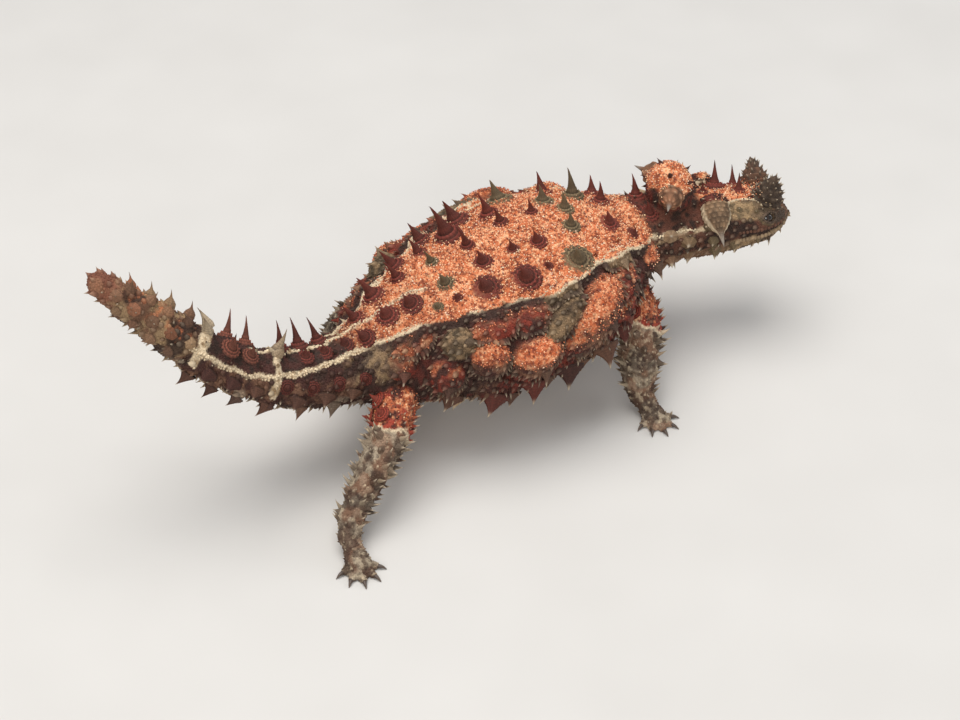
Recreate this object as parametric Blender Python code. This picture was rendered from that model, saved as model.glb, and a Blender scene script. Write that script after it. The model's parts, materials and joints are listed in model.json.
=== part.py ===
"""Thorny devil, standing in a slow walk, at life size.

The body is one run of cross sections along a bent centre line, from the tail tip to the snout,
parted into head, neck, torso and tail lengths by thin cuts. Each leg is a run of sections of its
own, with its upper part growing out of the torso. Thorns stand on all of them.
Lengths in this file are millimetres and angles are degrees; meshes are made in metres.
"""
import math
import random

import bmesh
import bpy
import numpy as np
from mathutils import Matrix, Vector

MM = 0.001
GAP = 0.3

# Moves the bottom centre of the whole animal to the origin
SHIFT = np.array([-18.13, -1.41, 0.0])

# Centre line of the body: distance forward from the hips, turn to the left, climb,
# then half width, height above and depth below the line, and squareness of the section
HIP_HEIGHT = 19.5
BODY = [
    (-66.0, -20, -50, 2.5, 2.5, 2.2, 2.0),
    (-54.0, -20, -50, 3.8, 3.8, 3.2, 2.0),
    (-40.0, -16, -44, 4.8, 4.7, 4.0, 2.0),
    (-26.0, -8, -28, 5.6, 5.4, 4.6, 2.0),
    (-12.0, 0, -9, 7.2, 6.8, 5.8, 2.0),
    (0.0, 0, 2, 12.0, 10.5, 9.0, 2.1),
    (16.0, 0, 6, 20.0, 13.0, 12.0, 2.2),
    (34.0, 0, 6, 21.5, 13.5, 12.5, 2.2),
    (50.0, -4, 4, 15.8, 10.5, 10.0, 2.1),
    (60.0, -10, 2, 9.6, 7.4, 7.2, 2.0),
    (68.0, -18, 0, 8.2, 6.2, 6.0, 2.2),
    (76.0, -24, 0, 8.8, 6.4, 6.0, 2.5),
    (84.0, -26, 2, 8.2, 5.8, 5.2, 2.5),
    (88.6, -27, 4, 6.2, 4.5, 4.3, 2.3),
    (91.0, -28, 6, 3.4, 2.7, 2.8, 2.1),
]
# The head is rolled so that its right cheek faces up: roll by distance
ROLL_AT = (69.0, 79.0)
ROLL = (0.0, 16.0)

# Lengths of the body that become nodes: first and last distance, rings, sides
LENGTHS = {
    "tail_tip": (-66.0, -53.0, 7, 12),
    "tail_mid": (-52.7, -31.0, 9, 12),
    "tail_base": (-30.7, -10.0, 9, 14),
    "torso": (-9.7, 58.0, 19, 22),
    "neck": (58.3, 71.6, 7, 20),
    "head": (71.9, 91.0, 9, 16),
}

# Legs: points from inside the body to the foot, the half thickness at each,
# and the lengths along the leg where the torso ends, the knee ends and the ankle begins
LEGS = {
    "hind_right": dict(
        points=[(0, -5, 17), (-5, -11, 16), (-10, -16, 13.2),
                (-17.2, -19.2, 8.4), (-23.5, -23, 3.6), (-25.2, -28.5, 1.3)],
        radii=[4.6, 4.2, 3.6, 3.1, 2.3, 2.0], cuts=(11.6, 18.2, 31.0),
        names=("thigh", "shin", "foot")),
    "hind_left": dict(
        points=[(0, 5, 17), (2.5, 13, 16.2), (7, 21.5, 13.2),
                (5.8, 25.5, 8.6), (5, 28.5, 3.6), (8.6, 32, 1.3)],
        radii=[4.6, 4.2, 3.6, 3.1, 2.3, 2.0], cuts=(14.4, 20.8, 29.6),
        names=("thigh", "shin", "foot")),
    "fore_right": dict(
        points=[(54, -4, 18.5), (52.5, -12, 15.4), (49.4, -17, 12.4),
                (46.8, -19.8, 8.2), (45.6, -22.6, 3.6), (45.2, -26.4, 1.3)],
        radii=[3.4, 3.9, 3.9, 4.0, 2.8, 2.2], cuts=(9.8, 15.8, 24.0),
        names=("upper_arm", "forearm", "hand")),
    "fore_left": dict(
        points=[(54, 4, 18.5), (55.5, 12, 15.4), (55, 18.5, 12.4),
                (58.5, 21.5, 8.2), (61, 24, 3.6), (64.2, 26.6, 1.3)],
        radii=[3.4, 3.8, 3.5, 3.6, 2.5, 2.1], cuts=(9.8, 18.4, 24.6),
        names=("upper_arm", "forearm", "hand")),
}

# Eyeball, and the places on the head of eyes, nostrils and ears: distance, angle from the top
EYE_RADIUS = 1.45
EYE_PLACE = (86.7, 76.0)
NOSTRIL_PLACE = np.array([89.6, 50.0])
EAR_PLACE = np.array([79.0, 88.0])
HORN_PLACE = (87.0, 32.0)
MOUTH_ANGLE = 99.0
# Cone over the ear: distance, offset to the side and up; its way ahead, to the side and up
EAR_CONE = (75.2, 4.5, 5.6)
EAR_CONE_WAY = (-0.02, 1.0, -0.75)

# The false head: a knob on the nape, with a thorn to each side
KNOB_PLACE = 66.8
KNOB_RADII = (4.9, 5.6, 6.0)
KNOB_FOOT = 8.0

COLOURS = {
    "hide_body": ((0.50, 0.20, 0.10), 0.8),
    "hide_head": ((0.36, 0.22, 0.13), 0.8),
    "hide_tail": ((0.30, 0.17, 0.11), 0.8),
    "hide_legs": ((0.27, 0.18, 0.12), 0.85),
    "eye_dark": ((0.02, 0.015, 0.01), 0.15),
}


def blend(at, stations, values):
    """Smooth curve through the stations that never swings past them."""
    x, y = np.asarray(stations, float), np.asarray(values, float)
    step = np.diff(x)
    rise = np.diff(y) / step
    slope = np.zeros_like(y)
    slope[0], slope[-1] = rise[0], rise[-1]
    for i in range(1, len(x) - 1):
        if rise[i - 1] * rise[i] > 0:
            before, after = 2 * step[i] + step[i - 1], step[i] + 2 * step[i - 1]
            slope[i] = (before + after) / (before / rise[i - 1] + after / rise[i])
    at = np.clip(np.asarray(at, float), x[0], x[-1])
    i = np.clip(np.searchsorted(x, at, side="right") - 1, 0, len(x) - 2)
    t = (at - x[i]) / step[i]
    near = (2 * t**3 - 3 * t**2 + 1) * y[i] + (t**3 - 2 * t**2 + t) * step[i] * slope[i]
    far = (3 * t**2 - 2 * t**3) * y[i + 1] + (t**3 - t**2) * step[i] * slope[i + 1]
    return near + far


def unit(v):
    return v / np.linalg.norm(v, axis=-1, keepdims=True)


STATION, TURN, CLIMB, HALF_WIDTH, ABOVE, BELOW, SQUARE = np.array(BODY).T


def centre_line():
    """Walk along the body in small steps, turning and climbing as the stations say."""
    along = np.arange(STATION[0], STATION[-1] + 0.1, 0.25)
    turn, climb = np.radians(blend(along, STATION, TURN)), np.radians(blend(along, STATION, CLIMB))
    ahead = np.stack([np.cos(climb) * np.cos(turn), np.cos(climb) * np.sin(turn), np.sin(climb)], 1)
    points = np.vstack([[0, 0, 0], np.cumsum(0.125 * (ahead[1:] + ahead[:-1]), 0)])
    hips = np.array([np.interp(0.0, along, points[:, k]) for k in range(3)])
    return along, points - hips + [0, 0, HIP_HEIGHT] + SHIFT, ahead


ALONG, LINE, AHEAD = centre_line()


def body_frame(s):
    """Point of the centre line at distance s, with the directions ahead, left and up."""
    point = np.stack([np.interp(s, ALONG, LINE[:, k]) for k in range(3)], -1)
    ahead = unit(np.stack([np.interp(s, ALONG, AHEAD[:, k]) for k in range(3)], -1))
    level = unit(np.cross([0, 0, 1.0], ahead))
    roll = np.radians(np.interp(s, ROLL_AT, ROLL))[..., None]
    left = np.cos(roll) * level - np.sin(roll) * np.cross(ahead, level)
    return point, ahead, left, np.cross(ahead, left)


def power(value, exponent):
    return np.sign(value) * np.abs(value) ** exponent


def body_point(s, angle):
    """Skin of the body at distance s; angle 0 is the back, 90 its left side, 180 the belly."""
    s, angle = np.broadcast_arrays(np.asarray(s, float), np.radians(angle))
    point, _, left, up = body_frame(s)
    bend = 2 / blend(s, STATION, SQUARE)
    height = np.where(np.cos(angle) > 0, blend(s, STATION, ABOVE), blend(s, STATION, BELOW))
    side = blend(s, STATION, HALF_WIDTH) * power(np.sin(angle), bend)
    rise = height * power(np.cos(angle), bend)
    return point + side[..., None] * left + rise[..., None] * up


def body_normal(s, angle):
    along = body_point(np.asarray(s) + 0.5, angle) - body_point(np.asarray(s) - 0.5, angle)
    around = body_point(s, np.asarray(angle) + 2.0) - body_point(s, np.asarray(angle) - 2.0)
    return unit(np.cross(along, around))


def body_offset(s, side, rise):
    """Point beside and above the centre line, in the section at distance s."""
    point, _, left, up = body_frame(s)
    return point + side * left + rise * up


class Leg:
    """A leg's own centre line, half thickness and directions, by distance from its root."""

    def __init__(self, points, radii, cuts, names):
        points = np.array(points, float) + SHIFT
        self.knots = np.r_[0, np.cumsum(np.linalg.norm(np.diff(points, axis=0), axis=1))]
        self.points, self.radii, self.cuts, self.names = points, radii, cuts, names
        self.length = self.knots[-1]

    def at(self, t):
        return np.stack([blend(t, self.knots, self.points[:, k]) for k in range(3)], -1)

    def frame(self, t):
        t = np.asarray(t, float)
        reach = 2.2
        ahead = unit(self.at(np.minimum(t + reach, self.length)) - self.at(np.maximum(t - reach, 0)))
        left = unit(np.cross([0, 0, 1.0], ahead))
        return self.at(t), ahead, left, np.cross(ahead, left)

    def radius(self, t):
        return blend(t, self.knots, self.radii)

    def skin(self, t, angle):
        point, _, left, up = self.frame(t)
        angle = np.radians(angle)
        out = np.sin(angle)[..., None] * left + np.cos(angle)[..., None] * up
        return point + self.radius(t)[..., None] * out, out


# Start from an empty scene
for old in list(bpy.data.objects):
    bpy.data.objects.remove(old)

MODEL = bpy.data.collections.new("thorny_devil")
SCRAP = bpy.data.collections.new("pieces")
for collection in (MODEL, SCRAP):
    bpy.context.scene.collection.children.link(collection)

ROOT = bpy.data.objects.new("animal", None)
MODEL.objects.link(ROOT)


def make_material(name):
    colour, roughness = COLOURS[name]
    material = bpy.data.materials.new(name)
    material.use_nodes = True
    shader = material.node_tree.nodes["Principled BSDF"]
    shader.inputs["Base Color"].default_value = (*colour, 1)
    shader.inputs["Roughness"].default_value = roughness
    shader.inputs["Metallic"].default_value = 0.0
    return material


MATERIALS = {name: make_material(name) for name in COLOURS}


def add_object(name, bm, collection=SCRAP):
    """Turn a bmesh in millimetres into an object in metres."""
    bmesh.ops.recalc_face_normals(bm, faces=bm.faces)
    bmesh.ops.scale(bm, vec=(MM, MM, MM), verts=bm.verts)
    mesh = bpy.data.meshes.new(name)
    bm.to_mesh(mesh)
    bm.free()
    obj = bpy.data.objects.new(name, mesh)
    collection.objects.link(obj)
    return obj


def loft(name, rings, collection=SCRAP):
    """Closed skin over a run of rings with the same number of points, flat at both ends."""
    bm = bmesh.new()
    rows = [[bm.verts.new(p) for p in ring] for ring in rings]
    count = len(rows[0])
    for near, far in zip(rows, rows[1:]):
        for i in range(count):
            j = (i + 1) % count
            bm.faces.new((near[i], near[j], far[j], far[i]))
    for row in (rows[0], rows[-1]):
        middle = bm.verts.new(sum((v.co for v in row), Vector()) / count)
        for i in range(count):
            bm.faces.new((row[i], row[(i + 1) % count], middle))
    return add_object(name, bm, collection)


def aim(direction):
    """Rotation that turns +Z to the direction."""
    return Vector([float(x) for x in direction]).to_track_quat("Z", "Y").to_matrix().to_4x4()


def cone(name, foot, direction, wide, narrow, length, sides):
    """Cone or frustum that starts at foot and runs along the direction."""
    bm = bmesh.new()
    middle = Matrix.Translation([float(x) for x in foot + direction * length / 2])
    bmesh.ops.create_cone(bm, cap_ends=True, segments=sides, radius1=wide, radius2=narrow,
                          depth=length, matrix=middle @ aim(direction))
    return add_object(name, bm)


def ball(name, centre, radii, axes, segments=12, rings=8):
    """Ellipsoid with its three radii along the three axes."""
    bm = bmesh.new()
    bmesh.ops.create_uvsphere(bm, u_segments=segments, v_segments=rings, radius=1.0)
    turn = Matrix([[float(axes[k][i] * radii[k]) for k in range(3)] for i in range(3)]).to_4x4()
    bmesh.ops.transform(bm, matrix=Matrix.Translation([float(x) for x in centre]) @ turn,
                        verts=bm.verts)
    return add_object(name, bm)


def thorn(root, direction, radius, height, sides=5):
    """Plain thorn, rooted under the skin."""
    sink = min(1.2, 0.5 * radius + 0.4)
    cone("thorn", root - direction * sink, direction, radius * (1 + sink / height) ** 0.5,
         0.0, height + sink, sides)


def rose_thorn(root, direction, radius, height):
    """Thorn on a broad low mound, like a rose thorn."""
    sink, shoulder = 1.2, 0.28 * height
    cone("mound", root - direction * sink, direction, 1.1 * radius, 0.5 * radius, shoulder + sink, 7)
    foot = root + direction * (shoulder - 0.3)
    cone("thorn", foot, direction, 0.46 * radius, 0.0, height - shoulder + 0.3, 5)


def largest_surface(mesh):
    """Keep only the largest closed surface of a mesh."""
    bm = bmesh.new()
    bm.from_mesh(mesh)
    left_over, bodies = set(bm.faces), []
    while left_over:
        stack, body = [left_over.pop()], set()
        while stack:
            face = stack.pop()
            body.add(face)
            for edge in face.edges:
                for other in edge.link_faces:
                    if other in left_over:
                        left_over.discard(other)
                        stack.append(other)
        bodies.append(body)
    keep = max(bodies, key=lambda faces: sum(f.calc_area() for f in faces))
    bmesh.ops.delete(bm, geom=[f for f in bm.faces if f not in keep], context="FACES")
    bm.to_mesh(mesh)
    bm.free()


def combine(obj, operation):
    """Join to, or cut from, an object everything in the pieces collection."""
    if not SCRAP.objects:
        return
    change = obj.modifiers.new(operation.lower(), "BOOLEAN")
    change.operation = operation
    change.operand_type = "COLLECTION"
    change.collection = SCRAP
    change.solver = "MANIFOLD"
    bpy.context.view_layer.update()
    mesh = bpy.data.meshes.new_from_object(obj.evaluated_get(bpy.context.evaluated_depsgraph_get()))
    obj.modifiers.clear()
    obj.data = mesh
    largest_surface(mesh)
    for piece in list(SCRAP.objects):
        bpy.data.objects.remove(piece)


def finish(obj, name, root, material):
    """Name a node, put its origin at its root and give it its material."""
    obj.name = obj.data.name = name
    root = Vector([float(x) * MM for x in root])
    obj.data.transform(Matrix.Translation(-root))
    obj.location = root
    obj.parent = ROOT
    obj.data.materials.clear()
    obj.data.materials.append(MATERIALS[material])
    obj.data.shade_smooth()
    obj.data.set_sharp_from_angle(angle=math.radians(40))


def length_loft(name):
    first, last, rings, sides = LENGTHS[name]
    angles = np.arange(sides) * 360.0 / sides
    places = np.linspace(first, last, rings)
    return loft(name, [body_point(np.full(sides, s), angles) for s in places], MODEL)


LEG = {name: Leg(**spec) for name, spec in LEGS.items()}
LEG_POINTS = np.vstack([leg.at(np.arange(6, leg.length, 0.7)) for leg in LEG.values()])
LEG_RADII = np.concatenate([leg.radius(np.arange(6, leg.length, 0.7)) for leg in LEG.values()])

NODE_SPANS = [(leg, np.arange(leg.cuts[0], leg.length, 0.7)) for leg in LEG.values()]
NODE_POINTS = np.vstack([leg.at(span) for leg, span in NODE_SPANS])
NODE_RADII = np.concatenate([leg.radius(span) for leg, span in NODE_SPANS])

SKIN_AT, SKIN_ANGLE = np.meshgrid(np.arange(-66, 91, 1.5), np.arange(-180, 180, 10.0))
SKIN_POINTS = body_point(SKIN_AT, SKIN_ANGLE).reshape(-1, 3)
SKIN_NORMALS = body_normal(SKIN_AT, SKIN_ANGLE).reshape(-1, 3)


def clear_of_legs(root, direction, radius, height):
    """True where a thorn on the body stays away from every leg."""
    reach = root + np.outer(np.linspace(0, height, 5), direction)
    gap = np.linalg.norm(reach[:, None] - LEG_POINTS[None], axis=2) - LEG_RADII
    return gap.min() > radius + 1.2


def clear_of_body(root, direction, height):
    """True where a thorn on a leg stays away from the body and above the floor."""
    tip = root + direction * height
    nearest = np.linalg.norm(SKIN_POINTS - tip, axis=1).argmin()
    outside = (tip - SKIN_POINTS[nearest]) @ SKIN_NORMALS[nearest]
    return outside > 3.0 and tip[2] > 0.6


def body_thorns(name, rows, spacing, small, seed):
    """Rows of large thorns, then small ones wherever there is room between them."""
    first, last = LENGTHS[name][:2]
    draw = random.Random(seed)
    placed = []

    def place(s, angle, radius, height, maker):
        if s - radius < first + 0.5 or s + radius > last - 0.5:
            return
        root, direction = body_point(s, angle), body_normal(s, angle)
        direction = unit(direction - 0.25 * body_frame(s)[1])
        if not clear_of_legs(root, direction, radius, height):
            return
        if all(np.linalg.norm(root - other) > 0.9 * (radius + size) for other, size in placed):
            maker(root, direction, radius, height)
            placed.append((root, radius))

    for s, angle, radius, _ in BACK_THORNS:
        placed.append((body_point(s, angle), 1.1 * radius))
    if name == "torso":
        for side in (-1, 1):
            for s, angle, half_long, half_high, *_ in FLANK_FOLDS:
                placed.append((body_point(s, side * angle), 0.7 * (half_long + half_high)))
            for s, angle, radius, _ in LEAF_THORNS:
                placed.append((body_point(s, side * angle), radius))
    for angle_first, angle_last, radius, height, places, sides in rows:
        for side in sides:
            ahead = 0.8 if side > 0 and len(sides) > 1 else 0.0
            for s in places:
                angle = side * np.interp(s, (places[0], places[-1]), (angle_first, angle_last))
                size = draw.uniform(0.88, 1.12)
                place(s + ahead, angle + draw.uniform(-2.5, 2.5), radius * size, height * size,
                      rose_thorn if radius > 1.7 else thorn)
    for s in np.arange(first + spacing / 2, last, spacing):
        around = 2 * math.pi * blend(s, STATION, 0.5 * (HALF_WIDTH + ABOVE))
        count = max(6, round(around / spacing))
        for i in range(count):
            angle = (i + draw.uniform(0.2, 0.8)) * 360 / count
            place(s + draw.uniform(-0.3, 0.3) * spacing, angle, small * draw.uniform(0.8, 1.2),
                  small * draw.uniform(1.9, 2.6), thorn)


# Thorns of the back: distance, angle (right is negative), radius of the mound, height
BACK_THORNS = [
    (60.9, -19.7, 2.1, 3.2), (49.9, -19.6, 2.2, 3.2), (41.9, -11.3, 1.9, 3.4), (44.3, 3.0, 1.9, 4.0),
    (33.5, -11.8, 1.85, 3.2), (28.5, -8.8, 1.4, 2.8), (21.9, -7.6, 2.1, 3.6), (37.5, -34.2, 3.1, 3.6),
    (18.5, -24.3, 3.0, 4.0), (26.3, -29.5, 2.9, 4.0), (13.1, -8.2, 1.8, 3.2), (5.0, -9.4, 2.3, 3.2),
    (-0.2, -7.8, 2.3, 3.2), (31.6, 10.3, 1.5, 4.0), (38.2, 7.9, 1.3, 3.2), (52.8, 6.9, 1.8, 4.2),
    (31.8, 22.1, 2.0, 5.0), (21.8, 21.9, 2.8, 7.4), (22.4, 5.8, 1.5, 5.2), (42.5, 16.4, 2.2, 3.6),
    (48.9, 19.0, 2.2, 5.8), (14.6, 8.9, 1.4, 3.6), (14.7, 22.4, 1.7, 4.2), (7.5, 17.0, 1.5, 5.0),
    (1.3, 21.6, 2.4, 5.4), (-5.0, 14.0, 1.9, 4.6), (-6.4, -17.0, 1.9, 3.4), (54.2, -38.0, 1.3, 1.8),
    (26.6, 36.0, 2.8, 4.8), (36.8, 35.0, 2.8, 4.4), (18.0, 37.0, 2.3, 4.4), (45.6, 38.0, 2.2, 4.2),
    (9.6, 32.0, 2.2, 4.4), (53.8, 30.0, 1.9, 3.6),
]
# Swellings of both flanks: distance, angle, half length, half height, tilt up towards the head,
# height of the swelling, height of its spine
FLANK_FOLDS = [
    (1.0, 44, 4.6, 3.0, 0, 1.8, 1.8), (15.4, 51, 5.2, 3.3, 0, 2.2, 0.0),
    (22.8, 56, 4.0, 3.0, 20, 2.2, 0.0), (30.2, 49, 4.6, 2.4, 8, 2.1, 2.2),
    (46.3, 50, 4.4, 2.6, 0, 2.0, 2.8), (8.1, 55, 3.2, 3.6, 70, 2.5, 2.4),
    (12.2, 72, 4.0, 3.8, 0, 3.3, 0.0), (20.9, 83, 5.6, 4.3, 0, 4.0, 2.6),
    (27.8, 66, 7.0, 2.7, 30, 2.9, 0.0), (35.0, 75, 9.0, 4.2, 33, 3.9, 2.2),
    (45.0, 68, 5.0, 3.0, 25, 2.4, 1.8), (4.4, 82, 3.8, 3.6, 0, 2.8, 2.6),
    (57.0, 78, 2.8, 2.8, 0, 1.8, 3.0), (-2.6, 64, 3.4, 3.0, 0, 1.9, 2.4),
    (43.4, 90, 3.6, 3.0, 0, 2.2, 2.0), (28.6, 88, 3.0, 2.6, 20, 2.4, 1.6),
]
# Thorns of both flanks, low down: distance, angle, radius, height
LEAF_THORNS = [
    (12.0, 105, 3.4, 5.0), (20.0, 108, 3.2, 4.8), (27.4, 106, 3.8, 5.2), (36.0, 104, 3.4, 5.2),
    (42.4, 108, 2.8, 4.2), (5.0, 104, 2.8, 4.0), (16.5, 122, 2.4, 3.2), (25.0, 124, 2.4, 3.2),
    (33.0, 124, 2.2, 2.8),
]
# The left flank is not a mirror image of the right: its thorns stand this much further forward
FAR_SHIFT = 1.3
FOLD_ROOT = 1.4
# Rows of thorns: angle from the back at the first and last place, radius, height, places, sides
BOTH, RIGHT, LEFT = (-1, 1), (-1,), (1,)
TORSO_ROWS = [(138, 140, 1.9, 2.4, (8, 17, 26, 35, 44), BOTH)]
TAIL_BASE_ROWS = [
    (9, 8, 1.9, 2.3, (-19.8, -15.4, -11.9), RIGHT),
    (30, 26, 1.7, 5.0, (-24.2, -19.4, -14.4), LEFT),
    (9, 9, 1.6, 4.4, (-27.0,), BOTH),
    (90, 84, 2.2, 3.0, (-28.2, -22.6, -17.2, -12.2), BOTH),
    (122, 118, 1.8, 3.0, (-27.0, -20.6, -14.8), BOTH),
]
TAIL_MID_ROWS = [
    (25, 22, 1.9, 2.8, (-38.4, -33.4), RIGHT),
    (30, 28, 1.7, 5.0, (-38.0, -33.0), LEFT),
    (7, 7, 1.6, 4.4, (-44.2,), BOTH),
    (90, 86, 2.1, 3.0, (-40.4, -35.4), BOTH),
    (126, 122, 1.8, 3.0, (-42.6, -37.6), BOTH),
    (22, 20, 1.5, 2.8, (-48.8,), BOTH),
    (62, 60, 1.8, 2.2, (-51.0, -46.8), BOTH),
    (110, 108, 1.6, 2.4, (-49.2,), BOTH),
]
TAIL_TIP_ROWS = [
    (22, 20, 1.5, 2.8, (-61.6, -57.4), BOTH),
    (66, 62, 1.7, 2.2, (-63.4, -59.4, -55.4), BOTH),
    (112, 108, 1.6, 2.4, (-61.4, -57.4), BOTH),
]
# Thorns of the crown, and small ones of the temples, jaw, snout and nape on both sides
CROWN_THORNS = [(77.9, 16, 2.1, 5.4), (82.0, -3, 1.6, 4.0), (82.2, 27, 1.6, 4.4),
                (77.0, -20, 1.1, 1.8), (74.6, 2, 1.2, 2.6)]
HEAD_THORNS = [(74.6, 112, 1.3, 2.6), (78.8, 118, 1.1, 2.0), (84.0, 114, 0.8, 1.2),
               (89.2, 30, 0.6, 1.0), (74.2, 92, 1.0, 2.0)]
NECK_ROWS = [
    (64, 78, 2.1, 3.4, (62.4, 68), BOTH),
    (104, 106, 1.7, 2.6, (63, 68.4), BOTH),
]


def fold_shape(s, angle, half_long, half_high, tilt, lift):
    """Centre, three radii and three axes of a swelling that leans along the flank."""
    root, out = body_point(s, angle), body_normal(s, angle)
    ahead = body_frame(s)[1]
    ahead = unit(ahead - (ahead @ out) * out)
    up = np.cross(out, ahead) * (-1.0 if angle > 0 else 1.0)
    tilt = math.radians(tilt)
    along = math.cos(tilt) * ahead + math.sin(tilt) * up
    across = math.cos(tilt) * up - math.sin(tilt) * ahead
    radii = (1.06 * half_long, 1.06 * half_high, lift + FOLD_ROOT)
    return root - FOLD_ROOT * out, radii, (along, across, out)


def clear_of_leg_nodes(centre, radii, axes):
    """True where a swelling of the torso stays away from the legs' own lengths."""
    arm = NODE_POINTS - centre
    reach = np.stack([arm @ axis / (radius + NODE_RADII + 0.5) for axis, radius in zip(axes, radii)])
    return np.linalg.norm(reach, axis=0).min() > 1.0


def torso_folds():
    """Swellings of the flanks, with a spine low on most of them, and the low leaf thorns."""
    for side in (-1, 1):
        shift = 0.0 if side < 0 else FAR_SHIFT
        for s, angle, half_long, half_high, tilt, lift, height in FLANK_FOLDS:
            centre, radii, axes = fold_shape(s + shift, side * angle, half_long, half_high, tilt, lift)
            if s + shift + radii[0] > LENGTHS["torso"][1] or not clear_of_leg_nodes(centre, radii, axes):
                continue
            ball("fold", centre, radii, axes, 9, 4)
            if height > 0:
                foot = centre + 0.9 * radii[2] * axes[2] - 0.45 * radii[1] * axes[1]
                thorn(foot, unit(axes[2] - 0.6 * axes[1] - 0.25 * body_frame(s)[1]), 0.9, height)
        for s, angle, radius, height in LEAF_THORNS:
            root, out = body_point(s + shift, side * angle), body_normal(s + shift, side * angle)
            if clear_of_legs(root, out, radius, height):
                rose_thorn(root, unit(out - 0.3 * body_frame(s)[1]), radius, height)


def back_thorns(name):
    """Large thorns of the back that lie on this length of the body."""
    first, last = LENGTHS[name][:2]
    for s, angle, radius, height in BACK_THORNS:
        if first + 1.2 * radius < s < last - 1.2 * radius:
            rose_thorn(body_point(s, angle), unit(body_normal(s, angle) - 0.2 * body_frame(s)[1]),
                       radius, height)


def build_tail():
    for name, rows, seed in (("tail_base", TAIL_BASE_ROWS, 2), ("tail_mid", TAIL_MID_ROWS, 3),
                             ("tail_tip", TAIL_TIP_ROWS, 4)):
        obj = length_loft(name)
        back_thorns(name)
        body_thorns(name, rows, 8.0, 0.75, seed)
        if name == "tail_tip":
            point, ahead, _, up = body_frame(LENGTHS[name][0])
            ball("blunt_end", point + 0.2 * up, (2.2, 2.4, 2.3), body_frame(LENGTHS[name][0])[1:])
            thorn(point - 1.2 * ahead + 0.8 * up, unit(up - ahead), 1.1, 2.4)
        combine(obj, "UNION")
        finish(obj, name, body_frame(LENGTHS[name][1])[0], "hide_tail")


def leg_loft(leg, start, end, collection=SCRAP, sides=10):
    """Length of a leg; its first ring lies the gap beyond the ring that ends the length before."""
    rings = max(4, round((end - start) / 2.0) + 1)
    angles = np.arange(sides) * 360.0 / sides
    lines = [leg.skin(np.full(sides, t), angles)[0] for t in np.linspace(start, end, rings)]
    if start > 0:
        lines[0] = lines[0] + GAP * leg.frame(start)[1]
    return loft("leg", lines, collection)


def build_torso():
    obj = length_loft("torso")
    for seed, leg in enumerate(LEG.values()):
        leg_loft(leg, 0.0, leg.cuts[0])
        leg_thorns(leg, 7.0, leg.cuts[0], 0.85, 10 + seed)
    torso_folds()
    back_thorns("torso")
    body_thorns("torso", TORSO_ROWS, 11.0, 0.9, 1)
    combine(obj, "UNION")
    finish(obj, "torso", body_frame(25.0)[0], "hide_body")


def leg_thorns(leg, start, end, radius, seed):
    """Short thorns down the outer, front and rear edges of a leg."""
    draw = random.Random(seed)
    for angle in (-95, -45, 0, 45, 95, 160):
        t = start + radius + 0.4 + draw.uniform(0, 1.2)
        while t < end - radius - 0.3:
            root, out = leg.skin(np.array([t]), np.array([angle + draw.uniform(-10, 10)]))
            size = radius * draw.uniform(0.8, 1.25)
            if clear_of_body(root[0], out[0], 2.2 * size):
                thorn(root[0], out[0], size, 2.2 * size)
            t += 3.6 * draw.uniform(0.85, 1.2)


def build_foot(leg, name):
    """Ankle, pad and five clawed toes, flat where they meet the floor."""
    start = leg.cuts[2]
    obj = leg_loft(leg, start, leg.length, MODEL)
    centre, ahead, _, _ = leg.frame(np.array([leg.length]))
    heading = unit(np.array([ahead[0][0], ahead[0][1], 0.0]))
    side = np.array([-heading[1], heading[0], 0.0])
    up = np.array([0, 0, 1.0])
    ball("pad", centre[0] + 0.2 * heading, (2.9, 2.6, 1.7), (heading, side, up))
    for turn, length in ((-64, 2.6), (-32, 3.5), (-4, 4.0), (24, 3.7), (56, 2.8)):
        turn = math.radians(turn)
        along = unit(math.cos(turn) * heading + math.sin(turn) * side - 0.08 * up)
        root = centre[0] * [1, 1, 0] + 0.75 * up + 1.4 * along
        cone("toe", root, along, 0.95, 0.6, length, 5)
        cone("claw", root + along * (length - 0.5), unit(along + 0.02 * up), 0.5, 0.0, 2.2, 4)
    combine(obj, "UNION")
    bm = bmesh.new()
    under = Matrix.Translation([float(centre[0][0]), float(centre[0][1]), -5.0])
    bmesh.ops.create_cube(bm, size=1.0, matrix=under @ Matrix.Diagonal((40, 40, 10, 1)))
    add_object("floor", bm)
    combine(obj, "DIFFERENCE")
    finish(obj, name, leg.at(start), "hide_legs")


def build_legs():
    for seed, (name, leg) in enumerate(LEG.items()):
        to_body, knee, ankle = leg.cuts
        upper = leg_loft(leg, to_body, knee, MODEL)
        leg_thorns(leg, to_body + GAP, knee, 0.8, 20 + seed)
        combine(upper, "UNION")
        finish(upper, leg.names[0] + "_" + name, leg.at(to_body), "hide_legs")
        lower = leg_loft(leg, knee, ankle, MODEL)
        leg_thorns(leg, knee + GAP, ankle, 0.75, 30 + seed)
        combine(lower, "UNION")
        finish(lower, leg.names[1] + "_" + name, leg.at(knee), "hide_legs")
        build_foot(leg, leg.names[2] + "_" + name)


def build_neck():
    obj = length_loft("neck")
    back_thorns("neck")
    body_thorns("neck", NECK_ROWS, 4.4, 0.75, 5)
    foot = body_offset(KNOB_PLACE, 0, 3.0)
    up = body_frame(KNOB_PLACE)[3]
    cone("knob_foot", foot, up, 4.2, 4.0, KNOB_FOOT - 3.0, 14)
    combine(obj, "UNION")
    finish(obj, "neck", body_frame(64.0)[0], "hide_body")


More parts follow.
